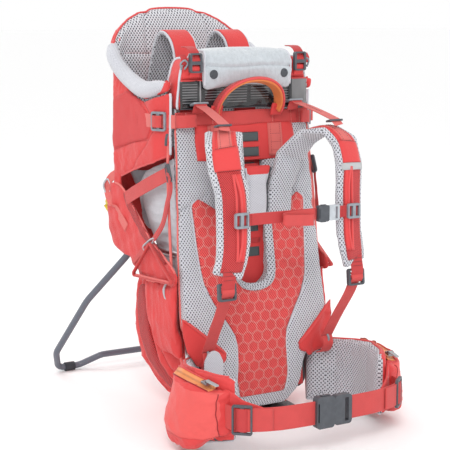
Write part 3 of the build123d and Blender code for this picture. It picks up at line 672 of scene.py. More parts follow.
def on_surface(tree, pts, direction, lift=0.6, reach=400.0):
    """Drops points (mm) along a direction onto a piece; a miss takes the nearest place."""
    d = Vector(direction).normalized()
    out = []
    for q in pts:
        origin = Vector(q) * MM - d * reach * MM
        hit, no, _, _ = tree.ray_cast(origin, d)
        if hit is None:
            hit, no, _, _ = tree.find_nearest(Vector(q) * MM)
        if no.dot(d) > 0:
            no = -no
        out.append(np.array(hit + no * lift * MM) / MM)
    return np.array(out)


def nearest_on(tree, pts, lift=0.6):
    """The nearest places on a piece, lifted off it."""
    out = []
    for q in pts:
        hit, no, _, _ = tree.find_nearest(Vector(q) * MM)
        out.append(np.array(hit + no * lift * MM) / MM)
    return np.array(out)


def relax(p, turns=3, closed=False):
    """Evens out a line; the ends of an open one stay."""
    p = np.array(p, float)
    for _ in range(turns):
        q = (np.roll(p, 1, 0) + np.roll(p, -1, 0) + 2 * p) / 4
        if not closed:
            q[0], q[-1] = p[0], p[-1]
        p = q
    return p


def lay_line(tree, pts, direction, lift, step=4.0, closed=False, smooth=True, relaxing=3):
    """A line laid over a piece."""
    return relax(on_surface(tree, resample(pts, step, smooth, closed), direction, lift), relaxing, closed)


def stitches(name, path, material=None, body="root", length=2.6, gap=1.4, radius=0.35, closed=False,
             lift=0.2):
    """Row of thread stitches along a line on a surface."""
    p = resample(path, length + gap, False, closed)
    verts, faces = [], []
    t = tangents(p, closed)
    for q, d in zip(p, t):
        a = np.cross(d, [0.2, 0.3, 0.93])
        a /= max(np.linalg.norm(a), 1e-9)
        b = np.cross(d, a)
        base = len(verts)
        for s, r in ((-0.5, 0.35), (-0.3, 1.0), (0.3, 1.0), (0.5, 0.35)):
            for k in range(5):
                ang = 2 * math.pi * k / 5
                verts.append(q + d * s * length + (a * math.cos(ang) + b * math.sin(ang)) * radius * r)
        for ring in range(3):
            for k in range(5):
                i, j = base + ring * 5 + k, base + ring * 5 + (k + 1) % 5
                faces.append((i, j, j + 5, i + 5))
        faces.append(tuple(base + k for k in range(5))[::-1])
        faces.append(tuple(base + 15 + k for k in range(5)))
    return add_mesh(name, verts, faces, material or THREAD, body)


def groove(o, lines, width_mm, depth_mm):
    """Presses sewn channels into a piece along lines in millimetres."""
    co, no = points(o), normals(o)
    p = co / MM
    near = np.full(len(p), 1e9)
    for line in lines:
        q = resample(line, max(1.5, width_mm * 0.4), False)
        for i in range(0, len(q), 64):
            block = q[i:i + 64]
            near = np.minimum(near, np.linalg.norm(p[:, None] - block[None], axis=2).min(1))
    set_points(o, co - no * (depth_mm * np.exp(-(near / width_mm) ** 2) * MM)[:, None])
    return o


def fill_outline(outline, step):
    """Triangles over a closed 2-D outline with inner points a step apart."""
    ring = resample(outline, step, False, closed=True)
    low, high = ring.min(0), ring.max(0)
    inner = []
    row = 0
    y = low[1] + step / 2
    nxt = np.roll(ring, -1, 0)
    while y < high[1]:
        x = low[0] + (step / 2 if row % 2 else step)
        while x < high[0]:
            q = np.array([x, y])
            cross = ((ring[:, 1] > y) != (nxt[:, 1] > y))
            xs = ring[:, 0] + (y - ring[:, 1]) * (nxt[:, 0] - ring[:, 0]) / np.where(
                np.abs(nxt[:, 1] - ring[:, 1]) < 1e-9, 1e-9, nxt[:, 1] - ring[:, 1])
            if (np.sum(cross & (xs > x)) % 2) and np.linalg.norm(ring - q, axis=1).min() > step * 0.55:
                inner.append(q)
            x += step
        y += step * 0.87
        row += 1
    pts = [Vector(q) for q in ring] + [Vector(q) for q in inner]
    edges = [(i, (i + 1) % len(ring)) for i in range(len(ring))]
    v, _, f, _, _, _ = delaunay_2d_cdt(pts, edges, [], 1, 1e-4)
    return np.array([list(q) for q in v]), [tuple(t) for t in f]


def patch(name, tree, outline, plane, direction, material, body="root", lift=0.5, thick=1.2, step=6.0,
          smooth=True, replaces=()):
    """Sewn panel laid on a piece: a 2-D outline in the x-z, y-z or x-y plane, dropped along direction."""
    ring = resample(outline, step, smooth, closed=True)
    flat, faces = fill_outline(ring, step)
    axes = {"xz": (0, 2), "yz": (1, 2), "xy": (0, 1)}[plane]
    seeds = np.zeros((len(flat), 3))
    seeds[:, axes[0]], seeds[:, axes[1]] = flat[:, 0], flat[:, 1]
    drop = next(k for k in range(3) if k not in axes)
    seeds[:, drop] = 0.0
    d = Vector(direction).normalized()
    top, ok = [], []
    for q in seeds:
        origin = Vector(q) * MM - d * 600 * MM
        hit, no, _, _ = tree.ray_cast(origin, d)
        ok.append(hit is not None)
        top.append(np.array(hit) / MM if hit is not None else q)
    top = np.array(top)
    ok = np.array(ok)
    if not ok.all() and ok.any():
        for i in np.where(~ok)[0]:
            j = np.argmin(np.where(ok, np.linalg.norm(flat - flat[i], axis=1), 1e9))
            top[i] = seeds[i]
            top[i, drop] = top[j, drop]
    links = [set() for _ in flat]
    for f in faces:
        for a, b in ((0, 1), (1, 2), (2, 0)):
            links[f[a]].add(f[b])
            links[f[b]].add(f[a])
    depth = top[:, drop].copy()
    for _ in range(2):
        depth = np.array([(depth[i] + np.mean([depth[j] for j in links[i]])) / 2 if links[i] else depth[i]
                          for i in range(len(depth))])
    sign = -1.0 if d[drop] > 0 else 1.0
    top[:, drop] = np.maximum(sign * depth, sign * top[:, drop]) * sign
    o = add_mesh(name, top, faces, material, None)
    bm = bmesh.new()
    bm.from_mesh(o.data)
    bmesh.ops.recalc_face_normals(bm, faces=bm.faces)
    if sum(f.normal.dot(-d) for f in bm.faces) < 0:
        bmesh.ops.reverse_faces(bm, faces=bm.faces)
    bm.to_mesh(o.data)
    bm.free()
    solidify(o, thick + 1.0)
    set_points(o, points(o) - np.array(d) * ((lift + thick / 2 - 0.5) * MM))
    if replaces:
        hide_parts(*replaces)
    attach(o, body)
    return o


def by_place(o, chooser, materials):
    """Gives each face one of the materials: chooser takes face centres (mm) and normals."""
    o.data.materials.clear()
    for m in materials:
        o.data.materials.append(m)
    n = len(o.data.polygons)
    c, no = np.zeros(n * 3), np.zeros(n * 3)
    o.data.polygons.foreach_get("center", c)
    o.data.polygons.foreach_get("normal", no)
    index = np.asarray(chooser(c.reshape(-1, 3) / MM, no.reshape(-1, 3)), np.int32)
    o.data.polygons.foreach_set("material_index", index)
    o.data.update()
    return o


def cut_planes(o, planes):
    """Splits the faces along planes (point mm, normal), so that a colour can change there cleanly."""
    bm = bmesh.new()
    bm.from_mesh(o.data)
    for p, n in planes:
        geom = bm.verts[:] + bm.edges[:] + bm.faces[:]
        bmesh.ops.bisect_plane(bm, geom=geom, dist=1e-6, plane_co=Vector(p) * MM, plane_no=Vector(n))
    bm.to_mesh(o.data)
    bm.free()
    return o


def soft(name, node, material, voxel=5.0, cap=5.0, pressure=4.0, settle=4, body="root",
         levels=1, shrink=1.0):
    """Padded piece grown from its CAD solid: remeshed, swollen and rounded off."""
    o = copy_node(node, name)
    remesh(o, voxel)
    smooth_mesh(o, settle)
    if shrink:
        set_points(o, points(o) - normals(o) * shrink * MM)
    if cap:
        inflate(o, cap, pressure)
        smooth_mesh(o, 1)
    if levels:
        subdivide(o, levels)
    o.data.materials.clear()
    o.data.materials.append(material)
    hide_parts(node)
    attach(o, body)
    return o


def sides():
    """Both sides: suffix and the sign of X. The left side is the one with X below 0."""
    return (("left", -1.0), ("right", 1.0))


def on_side(s, *places):
    """Places given for the right side, put on side s."""
    return [(s * x, y, z) for x, y, z in places]


def stands_for_pair(s, node):
    """The left piece of a pair stands for the CAD node that holds both."""
    if s < 0:
        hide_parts(node)


LEAN = math.radians(6)
FRAME_Y = -12.0


def fp(x, v, w=0.0):
    """Point on the leaning frame: across, up along it, and forward of it."""
    return np.array([x, FRAME_Y + v * math.sin(LEAN) - w * math.cos(LEAN),
                     v * math.cos(LEAN) + w * math.sin(LEAN)])


FRONT = np.array([0.0, -math.cos(LEAN), math.sin(LEAN)])     # out of the back panel
UPHILL = np.array([0.0, math.sin(LEAN), math.cos(LEAN)])


def box_mm(node):
    low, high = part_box(node)
    return np.array(low) / MM, np.array(high) / MM


def lay_strip(name, tree, pts, side, out, width, material, body="root", thick=1.6, lift=0.3, step=5.0,
              columns=7, smooth=True, taper=None, reach=60.0, relaxing=1):
    """Webbing or cloth band that follows the surface under it. out points away from the piece."""
    path = resample(pts, step, smooth)
    n = len(path)

    def spread(v):
        v = np.array(v, float)
        if v.ndim == 1:
            return np.tile(v, (n, 1))
        s = np.linspace(0, len(v) - 1, n)
        return np.stack([np.interp(s, range(len(v)), v[:, k]) for k in range(3)], 1)

    side, out = spread(side), spread(out)
    k = np.ones(n) if taper is None else np.interp(np.linspace(0, 1, n), np.linspace(0, 1, len(taper)), taper)
    across = np.linspace(-width / 2, width / 2, columns)
    grid = np.zeros((n, columns, 3))
    for i in range(n):
        o = out[i] / np.linalg.norm(out[i])
        s = side[i] - o * side[i].dot(o)
        s /= np.linalg.norm(s)
        for j, a in enumerate(across):
            q = path[i] + s * a * k[i]
            hit, no, _, _ = tree.ray_cast(Vector(q + o * reach) * MM, Vector(-o))
            grid[i, j] = np.array(hit) / MM if hit is not None and (
                np.linalg.norm(np.array(hit) / MM - q) < reach) else np.nan
        bad = np.isnan(grid[i, :, 0])
        if bad.all():
            grid[i] = [path[i] + s * a * k[i] for a in across]
        elif bad.any():
            good = np.where(~bad)[0]
            for j in np.where(bad)[0]:
                g = good[np.argmin(abs(good - j))]
                q = path[i] + s * across[j] * k[i]
                grid[i, j] = q + o * (grid[i, g] - q).dot(o)
    for _ in range(relaxing):
        g = grid.copy()
        g[1:-1] = (grid[:-2] + grid[2:] + 2 * grid[1:-1]) / 4
        g[:, 1:-1] = (g[:, :-2] + g[:, 2:] + 2 * g[:, 1:-1]) / 4
        grid = g
    o = np.stack([v / np.linalg.norm(v) for v in out])[:, None]
    top, low = grid + o * (lift + thick), grid - o * 0.4
    top[:, [0, -1]] = grid[:, [0, -1]] + o * (lift + thick * 0.45)
    run = np.concatenate([[0], np.cumsum(np.linalg.norm(np.diff(path, axis=0), axis=1))])
    verts = list(top.reshape(-1, 3)) + list(low.reshape(-1, 3))
    at = lambda i, j, layer: layer * n * columns + i * columns + j
    faces, uvs = [], []

    def quad(*corners):
        faces.append(tuple(at(*c) for c in corners))
        uvs.extend((across[c[1]], run[c[0]]) for c in corners)

    for i in range(n - 1):
        for j in range(columns - 1):
            quad((i, j, 0), (i, j + 1, 0), (i + 1, j + 1, 0), (i + 1, j, 0))
            quad((i, j, 1), (i + 1, j, 1), (i + 1, j + 1, 1), (i, j + 1, 1))
        quad((i, 0, 0), (i + 1, 0, 0), (i + 1, 0, 1), (i, 0, 1))
        j = columns - 1
        quad((i, j, 0), (i, j, 1), (i + 1, j, 1), (i + 1, j, 0))
    for i in (0, n - 1):
        for j in range(columns - 1):
            quad((i, j, 0), (i, j, 1), (i, j + 1, 1), (i, j + 1, 0))
    piece = add_mesh(name, verts, faces, material, body, True, uvs)
    face_outwards(piece)
    return piece, grid + o * (lift + thick)


def strip_stitches(name, grid, columns, material=None, body="root", **kw):
    """Stitch rows along a laid band's columns."""
    for k, j in enumerate(columns):
        stitches(f"{name}_{k + 1}", grid[:, j], material, body, **kw)


def cross_stitch(name, grid, row, material=None, body="root", **kw):
    """A bar of stitches across a laid band."""
    stitches(name, grid[row, 1:-1], material, body, **kw)


# ------------------------------------------------------------------ carried-over hard parts

for material, nodes in (
        (TUBE, ("frame_main_tube", "frame_cross_tube", "frame_side_arms")),
        (ENAMEL, ("kickstand",)), (RUBBER, ("kickstand_feet",)), (STEEL, ("kickstand_pins",)),
        (BOARD, ("back_board", "yoke_plate")),
        (PLASTIC_GREY, ("lifter_rings", "chest_sliders", "compression_buckles")),
        (PLASTIC, ("chin_pad_buckles", "belt_slider_frames", "entry_buckles", "kickstand_hinges",
                   "base_plate", "strap_adjusters", "waist_buckle_socket", "waist_buckle_plug",
                   "waist_tab_upper", "waist_tab_lower", "chest_buckle_socket", "chest_tab_upper",
                   "chest_tab_lower")),
        (PLASTIC_LIGHT, ("chest_buckle_plug",)),
        (ZIP_METAL, ("zipper_slider_left", "zipper_slider_right")),
        (CORD, ("zipper_pull_left", "zipper_pull_right")), (SNAP, ("chin_pad_snaps",))):
    for node in nodes:
        dress(node, material)

# ------------------------------------------------------------------ back pad

back = soft("back_pad_foam", "back_pad", MESH, voxel=4.5, cap=4.0, settle=5)
seams = []
for s in (-1, 1):
    seams.append([fp(s * 156, 376, 30), fp(s * 118, 394, 30), fp(s * 87, 410, 30)])
    seams.append([fp(s * 118, 394, 30), fp(s * 112, 320, 34), fp(s * 105, 253, 40), fp(s * 88, 214, 44),
                  fp(s * 66, 180, 46), fp(s * 51, 150, 46), fp(s * 50, 110, 46), fp(s * 54, 60, 42)])
tree = bvh(back)
laid = [on_surface(tree, resample(line, 4.0), -FRONT, 0.0) for line in seams]
groove(back, laid, 4.0, 3.2)
tree = bvh(back)
for k, line in enumerate(laid[0::2]):
    stitches(f"back_pad_seam_{k + 1}", on_surface(tree, line, -FRONT, 0.1), THREAD_GREY, radius=0.5)

RED_ZONE = [(43, 300), (43, 366), (56, 372), (80, 388), (104, 403), (116, 392), (113, 350), (111, 310),
            (105, 253), (91, 218), (69, 183), (53, 154), (50, 122), (52, 70), (46, 40)]
ring = [(x, fp(0, v, 40)[2]) for x, v in RED_ZONE]
ring += [(-x, z) for x, z in reversed(ring)]
ring += [(-43, fp(0, 262, 40)[2]), (-30, fp(0, 240, 40)[2]), (0, fp(0, 234, 40)[2]),
         (30, fp(0, 240, 40)[2]), (43, fp(0, 262, 40)[2])]
comb = patch("back_honeycomb_panel", tree, ring, "xz", -FRONT, COMB, lift=-0.6, thick=1.6, step=5.0,
             smooth=False, replaces=("back_mesh_panel",))
tree = bvh(back, comb)
# Grey band sewn round the opening for the length adjuster.
edge = [(-37, 378), (-37, 355), (-37, 330), (-37, 280), (-34, 256), (-22, 243), (0, 239), (22, 243),
        (34, 256), (37, 280), (37, 330), (37, 355), (37, 378)]
path = resample([fp(x, v, 38) for x, v in edge], 5)
_, opening_grid = lay_strip("adjuster_opening_binding", tree, path, np.cross(tangents(path), FRONT), FRONT,
                            13, MESH, thick=2.4, step=5)
stitches("adjuster_opening_stitch", opening_grid[:, -2], THREAD_GREY)
for s, name in ((-1, "left"), (1, "right")):
    line = [fp(s * (x + 2.0), v, 40) for x, v in RED_ZONE[4:]]
    cord_tube(f"back_panel_piping_{name}", lay_line(tree, line, -FRONT, 0.6), 1.3, GREY_TRIM)
    outer = [fp(s * x, v, 20) for x, v in ((58, 22), (80, 44), (94, 100), (130, 145), (149, 178), (149, 300),
                                           (145, 400), (139, 530))]
    cord_tube(f"back_pad_edge_piping_{name}", nearest_on(tree, resample(outer, 5), 0.8), 1.7, TRIM)

# Cloth over the board behind the opening, with the daisy-chain strips.
cloth_ring = [(-108, 44), (108, 44), (108, 552), (-108, 552)]
flat, faces = fill_outline(cloth_ring, 9.0)
verts = [fp(x, v, 8.7 + 0.25 * math.sin(x * 0.11) * math.cos(v * 0.05)) for x, v in flat]
cloth = add_mesh("adjuster_cloth", verts, faces, RED_SMOOTH, None)
solidify(cloth, 0.6)
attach(cloth, "root")

for k, v in enumerate((300, 345)):
    strip = strap(f"grip_strip_{k + 1}", [fp(-27, v, 9.3), fp(0, v, 9.6), fp(27, v, 9.3)], 17, 1.0, UPHILL,
                  GRIP, step=4)
    if k == 0:
        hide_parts("grip_strips")
for k, v in enumerate((320, 366)):
    strap(f"adjuster_bar_{k + 1}", [fp(-30, v, 9.3), fp(0, v, 9.6), fp(30, v, 9.3)], 9, 1.0, UPHILL,
          STRAP_DEEP)
# One cloth over the top of the back panel, with the upper grips and two webbing runs sewn to it.
pad_tree = bvh(back)
ring = [(-100, 470), (-40, 466), (40, 466), (100, 470), (103, 505), (100, 532), (-100, 532), (-103, 505)]
flat, faces = fill_outline(resample(ring, 6, False, True), 6.0)
depth = []
for x, v in flat:
    hit, _, _, _ = pad_tree.ray_cast(Vector(fp(x, v, 90)) * MM, Vector(-FRONT))
    depth.append(max(21.0, (np.array(hit) / MM - fp(0, 0, 0)).dot(FRONT)) if hit is not None else 21.0)
depth = np.array(depth)
for _ in range(3):
    near = np.exp(-(np.linalg.norm(flat[:, None] - flat[None], axis=2) / 9.0) ** 2)
    depth = np.maximum(near @ depth / near.sum(1), depth - 1.0)
upper_cloth = add_mesh("upper_back_cloth", [fp(x, v, w + 1.0) for (x, v), w in zip(flat, depth)], faces,
                       RED_SMOOTH, None)
solidify(upper_cloth, 1.8)
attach(upper_cloth, "root")
tree = bvh(upper_cloth)
for name, x_sign in (("left", -1), ("right", 1)):
    line = [fp(x_sign * 62, v, 24) for v in np.linspace(472, 531, 12)]
    web, web_grid = lay_strip(f"upper_back_webbing_{name}", tree, line, (1, 0, 0), FRONT, 29, STRAP_PALE,
                              thick=1.8)
    strip_stitches(f"upper_back_webbing_stitch_{name}", web_grid, (1, 5), THREAD)
    for k, row in enumerate((2, 5, 8)):
        cross_stitch(f"upper_back_tack_{name}_{k + 1}", web_grid, row, THREAD, gap=0.8)
for k, v in enumerate((481, 508)):
    line = [fp(x, v, 24) for x in np.linspace(-27, 27, 12)]
    _, grip_grid = lay_strip(f"upper_grip_{k + 1}", tree, line, UPHILL, FRONT, 17, GRIP, thick=2.0)
    strip_stitches(f"upper_grip_stitch_{k + 1}", grip_grid, (0, 6), THREAD)

# Blank coral patch over the top of the harness bib.
strap("adjuster_top_patch", [fp(-29, 451, 15), fp(0, 451, 15.6), fp(29, 451, 15)], 17, 2.0, UPHILL,
      RED_SMOOTH, "harness")

# ------------------------------------------------------------------ top band and top box

band = strap("top_band_webbing", [fp(x, 543 + 0.8 * math.sin(x * 0.05), 23 + 0.5 * math.cos(x * 0.03))
                                  for x in np.linspace(-137, 137, 24)], 26, 2.2, UPHILL, STRAP, step=6)
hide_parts("top_band")
for k, x in enumerate((-121, -117, -103, -64, -60, 60, 64, 100, 112, 118)):
    stitches(f"top_band_tack_{k + 1}", [fp(x, 532, 24.3), fp(x, 554, 24.3)], THREAD_PALE if k % 2 else THREAD,
             length=2.0, gap=0.9)
for k, v in enumerate((532.5, 553.5)):
    stitches(f"top_band_hem_{k + 1}", [fp(x, v, 24.3) for x in np.linspace(-135, 135, 40)], THREAD)

top = soft("top_box_cover", "top_box", RED, voxel=4.5, cap=4.0, settle=5)
folds(top, 0.9, 46, 11, along=(1, 0, 0), stretch=1.6)
# The swollen cover stays behind the label.
co = points(top) / MM
label_front = np.interp(co[:, 2], [548, 557, 613, 622], [0, 20.4, 20.4, 0])
co[:, 1] = np.where(co[:, 1] < 40, np.maximum(co[:, 1], label_front), co[:, 1])
set_points(top, co * MM)
tree = bvh(top)
for name, s in sides():
    rim = on_side(s, (134, 24, 556), (133, 22, 590), (129, 21, 625), (119, 24, 652), (117, 40, 656),
                  (120, 58, 652), (131, 66, 615), (134, 68, 562))
    cord_tube(f"top_box_piping_{name}", relax(nearest_on(tree, resample(rim, 4), 1.2), 4), 2.3, GREY_TRIM)
hem = [(x, 18, 615.5) for x in np.linspace(-128, 128, 40)]
stitches("top_box_hem", on_surface(tree, hem, (0, 1, 0), 0.3), THREAD)

x = np.linspace(-130, 130, 53)
z = np.linspace(560.5, 610.5, 12)
verts, faces = [], []
for j, b in enumerate(z):
    for i, a in enumerate(x):
        ripple = 0.9 * math.sin(a * 0.06 + b * 0.07) + 0.5 * math.sin(a * 0.17 - b * 0.13)
        verts.append((a, 17.6 + ripple, b))
for j in range(len(z) - 1):
    for i in range(len(x) - 1):
        q = j * len(x) + i
        faces.append((q, q + 1, q + len(x) + 1, q + len(x)))
label = add_mesh("blank_label_sheet", verts, faces, LABEL, None)
solidify(label, 1.4)
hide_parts("label_panel")
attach(label, "root")
for k, (height, material) in enumerate(((561, DARK_TRIM), (610, TRIM_DEEP))):
    line = [(q, 16.8, height) for q in np.linspace(-130, 130, 40)]
    cord_tube(f"label_edge_{k + 1}", resample(line, 6), 1.1, material)
cord_tube("label_cord", resample([(93, 14, 616), (95, 13.2, 600), (92.5, 13.4, 580), (97, 14.4, 562)], 3),
          1.3, DARK_TRIM)

# ------------------------------------------------------------------ chin pad

CHIN_LOCK_X = 107
chin = soft("chin_pad_fleece", "chin_pad", FLEECE, voxel=3.6, cap=7.0, settle=3)
tree = bvh(chin)
line = on_surface(tree, [(a, -10, 634.5 + 1.2 * math.sin(a * 0.05)) for a in np.linspace(-94, 94, 50)],
                  (0, 1, 0), 0)
groove(chin, [line], 3.4, 3.4)
tree = bvh(chin)
stitches("chin_pad_stitch", on_surface(tree, line, (0, 1, 0), 0.1), THREAD_GREY)
for name, s in sides():
    end = on_side(s, (92, 3, 600), (93.5, 1, 620), (93, 2, 645), (88, 14, 664), (87, 40, 667))
    cord_tube(f"chin_pad_end_binding_{name}", nearest_on(tree, resample(end, 4), 0.4), 1.8, GREY_TRIM)
    # Webbing from the box through the ladder lock.
    route = [(40, 668), (22, 667), (10, 660), (5.4, 650), (2.4, 645), (6.6, 639), (8.4, 632), (10.5, 622)]
    strap(f"chin_pad_webbing_{name}", [(s * CHIN_LOCK_X, y, z) for y, z in route], 19, 1.8, (1, 0, 0),
          STRAP_DEEP, step=3)
    route = [(5.6, 636), (4.2, 630), (7.0, 622), (9.6, 616)]
    strap(f"chin_pad_webbing_tail_{name}", [(s * CHIN_LOCK_X, y, z) for y, z in route], 19, 1.6, (1, 0, 0),
          RED_SMOOTH, step=3)
    loop = on_side(s, (124, 13, 630), (119, 10, 640), (126, 9, 646), (132, 12, 640), (129, 14, 630))
    cord_tube(f"top_box_hook_{name}", resample(loop, 3), 1.7, PLASTIC_GREY)
    strap(f"top_box_hook_tab_{name}", on_side(s, (126, 17, 655), (126, 10.5, 647), (126, 12.5, 638)), 12, 1.6,
          (1, 0, 0), STRAP_DEEP, step=3)

# ------------------------------------------------------------------ grab handle

pivot = np.array([0, 14, 549.0])
tilt = math.radians(28)
rise, across = np.array([0, -math.sin(tilt), math.cos(tilt)]), np.array([0, math.cos(tilt), math.sin(tilt)])
arc = [(-63, 8), (-64, 18), (-59, 36), (-46, 54), (-26, 66), (0, 70.5), (26, 66), (46, 54), (59, 36),
       (64, 18), (63, 8)]
line = resample([pivot + rise * h + np.array([a, 0, 0]) for a, h in arc], 4)


ROLL = math.radians(38)
ends = np.interp(np.linspace(0, 1, len(line)), [0, 0.2, 0.4, 0.6, 0.8, 1],
                 [0.2, 0.8, 1, 1, 0.8, 0.2])[:, None]
bow = np.cross(tangents(line), across)
bow *= np.sign(np.sum(bow * (line - pivot - rise * 20), 1))[:, None]
band_side = across * np.cos(ROLL * ends) - bow * np.sin(ROLL * ends)
band_out = bow * np.cos(ROLL * ends) + across * np.sin(ROLL * ends)


def offset_arc(by):
    """The arch line moved out of the rolled band's upper face."""
    return line + band_out * by


grip = strap("grab_handle_cover", offset_arc(2.0), 24.0, 4.0, band_side, STRAP, "grab_handle", step=4,
             smooth=False)
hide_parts("grab_handle")
strap("grab_handle_lining", offset_arc(-1.8), 21.0, 5.0, band_side, HANDLE_ORANGE, "grab_handle", step=4,
      smooth=False)
for k, a in enumerate((-9.5, 9.5)):
    stitches(f"grab_handle_stitch_{k + 1}", offset_arc(4.1) + band_side * a, THREAD, "grab_handle")
cord_tube("grab_handle_edge_front", offset_arc(0.6) - band_side * 11.4, 2.0, TRIM_DEEP, "grab_handle")
cord_tube("grab_handle_edge_rear", offset_arc(0.6) + band_side * 11.4, 2.0, TRIM_DEEP, "grab_handle")
for name, s in sides():
    strap(f"grab_handle_foot_{name}", on_side(s, (62, 13.6, 546), (62, 10.4, 556), (62.5, 6.5, 566)), 23, 6.0,
          (1, 0, 0), RED_SMOOTH, "grab_handle", step=3)

# ------------------------------------------------------------------ cabin wall and headrest


def crest_line(o, centre, low_deg, high_deg, bins=90):
    """Highest points of a U-shaped wall, by plan angle about a centre (mm)."""
    p = points(o) / MM
    a = np.degrees(np.arctan2(p[:, 0] - centre[0], p[:, 1] - centre[1]))
    out = []
    for c in np.linspace(low_deg, high_deg, bins):
        near = p[np.abs(a - c) < (high_deg - low_deg) / bins * 1.1]
        if len(near):
            top = near[near[:, 2] > near[:, 2].max() - 3.0]
            out.append(top.mean(0))
    return relax(np.array(out), 4)


CABIN_CENTRE = (0.0, 150.0)


def facing_out(c, n):
    """1 where a wall face looks away from the cabin, 0 where it looks into it."""
    return ((c[:, 0] - CABIN_CENTRE[0]) * n[:, 0] + (c[:, 1] - CABIN_CENTRE[1]) * n[:, 1]) > 0


head = soft("headrest_pad", "headrest", MESH_OPEN_LIT, voxel=4.5, cap=5.0, settle=4)
co = points(head) / MM
co[:, 0] *= 1 - 0.07 * np.clip((co[:, 2] - 660) / 60, 0, 1)
set_points(head, co * MM)
tree = bvh(head)
darts = []
for s in (-1, 1):
    darts.append(on_side(s, (142, 236, 712), (132, 244, 690), (128, 226, 650), (138, 190, 616)))
    darts.append(on_side(s, (60, 290, 752), (66, 276, 700), (70, 262, 640)))
head_seams = [nearest_on(tree, resample(line, 4), 0.0) for line in darts]
groove(head, head_seams, 4.5, 4.0)
folds(head, 0.8, 70, 21, along=(0, 0, 1), stretch=1.5)
by_place(head, facing_out, [MESH_OPEN_LIT, RED])
tree = bvh(head)
for k, line in enumerate(head_seams):
    stitches(f"headrest_seam_{k + 1}", nearest_on(tree, line, 0.1), THREAD_GREY)
crest = crest_line(head, CABIN_CENTRE, -128, 128, 120)
cord_tube("headrest_piping", nearest_on(tree, resample(crest, 5), 1.3), 2.0, TRIM_DEEP)
ROLL_SIDES, ROLL_RADIUS, ROLL_END_Y = 16, 13.5, 262.0
for name, s in sides():
    part = crest[crest[:, 0] * s > 0]
    part = part[part[:, 1] < ROLL_END_Y]
    part = part[np.argsort(part[:, 1])]
    line = relax(resample(part, 6), 6)
    line[:, 2] -= 3.0
    line[:, 0] += s * 1.5
    taper = np.interp(np.linspace(0, 1, len(line)), [0, 0.05, 0.14, 0.35, 0.9, 1],
                      [0.3, 0.7, 1.05, 1.2, 1.0, 0.75])
    a = np.linspace(0, 2 * math.pi, ROLL_SIDES, endpoint=False)
    section = np.stack([np.cos(a), np.sin(a)], 1) * ROLL_RADIUS
    roll = sweep(f"headrest_roll_{name}", line, section, np.cross(tangents(line), (s, 0, 0)), MESH_FINE)
    rings = points(roll).reshape(len(line), ROLL_SIDES, 3)
    middle = rings.mean(1, keepdims=True)
    set_points(roll, (middle + (rings - middle) * taper[:, None, None]).reshape(-1, 3))
    subdivide(roll)

wall = soft("cabin_side_wall", "cabin_wall", RED, voxel=3.4, cap=2.5, settle=2,
            levels=1, shrink=0.3)
co = points(wall) / MM
bearing = np.degrees(np.arctan2(co[:, 0] - CABIN_CENTRE[0], co[:, 1] - CABIN_CENTRE[1]))
bins = np.clip(((bearing + 180) / 4).astype(int), 0, 89)
crest_z = np.array([co[bins == b, 2].max() if (bins == b).any() else 0.0 for b in range(90)])
crest_z = crest_z[bins]
at_rear = np.clip((co[:, 1] - 150) / 40, 0, 1)
co[:, 2] += 13.0 * at_rear * np.clip(1 - (crest_z - co[:, 2]) / 14, 0, 1)
set_points(wall, co * MM)
tree = bvh(wall)
lines = []
for s in (-1, 1):
    for route in ([(228, 473), (151, 493), (82, 504)], [(152, 447), (118, 474), (86, 500)],
                  [(169, 588), (118, 574), (82, 556), (63, 530), (82, 504)]):
        lines.append([(s * 157, y, z) for y, z in route])
wall_seams = [nearest_on(tree, resample(line, 4), 0.0) for line in lines]
groove(wall, wall_seams, 3.2, 1.6)


def slack(p):
    """More creases low down and behind, where nothing holds the cloth taut."""
    return 0.45 + 0.9 * np.clip((p[:, 1] - 60) / 200, 0, 1) * np.clip((640 - p[:, 2]) / 200, 0, 1)


folds(wall, 2.0, 60, 31, along=(0, 0.35, 1), stretch=2.6, where=slack)
folds(wall, 0.7, 22, 32, along=(0, 1, 0.2), stretch=1.8, where=slack)


def wall_zone(c, n):
    """0 inside and low, 1 outside, 2 inside and high, where the mesh lining runs down from the headrest."""
    return np.where(facing_out(c, n), 1, np.where(c[:, 2] > 470, 2, 0))


by_place(wall, wall_zone, [RED_SMOOTH, RED, MESH_OPEN_LIT])
tree = bvh(wall)
for k, line in enumerate(wall_seams):
    stitches(f"cabin_seam_{k + 1}", nearest_on(tree, line, 0.15), THREAD)
for name, s in sides():
    net = [(170, 586), (118, 571), (84, 553), (66, 531), (84, 506), (152, 494), (226, 476), (236, 520),
           (222, 570)]
    patch(f"cabin_net_panel_{name}", tree, net, "yz", (-s, 0, 0), RED_NET_SHADE, lift=-0.4, thick=1.2, step=6,
          smooth=False)
    edge = on_side(s, (157, 22, 480), (157, 63, 468), (157, 110, 457), (157, 152, 444), (157, 200, 428))
    cord_tube(f"cabin_hem_{name}", nearest_on(tree, resample(edge, 5), 0.4), 2.0, TRIM_DEEP)
    front = [(s * 141, 27, z) for z in np.linspace(482, 592, 20)]
    cord_tube(f"cabin_front_edge_{name}", nearest_on(tree, resample(front, 5), 0.4), 2.4, GREY_TRIM)

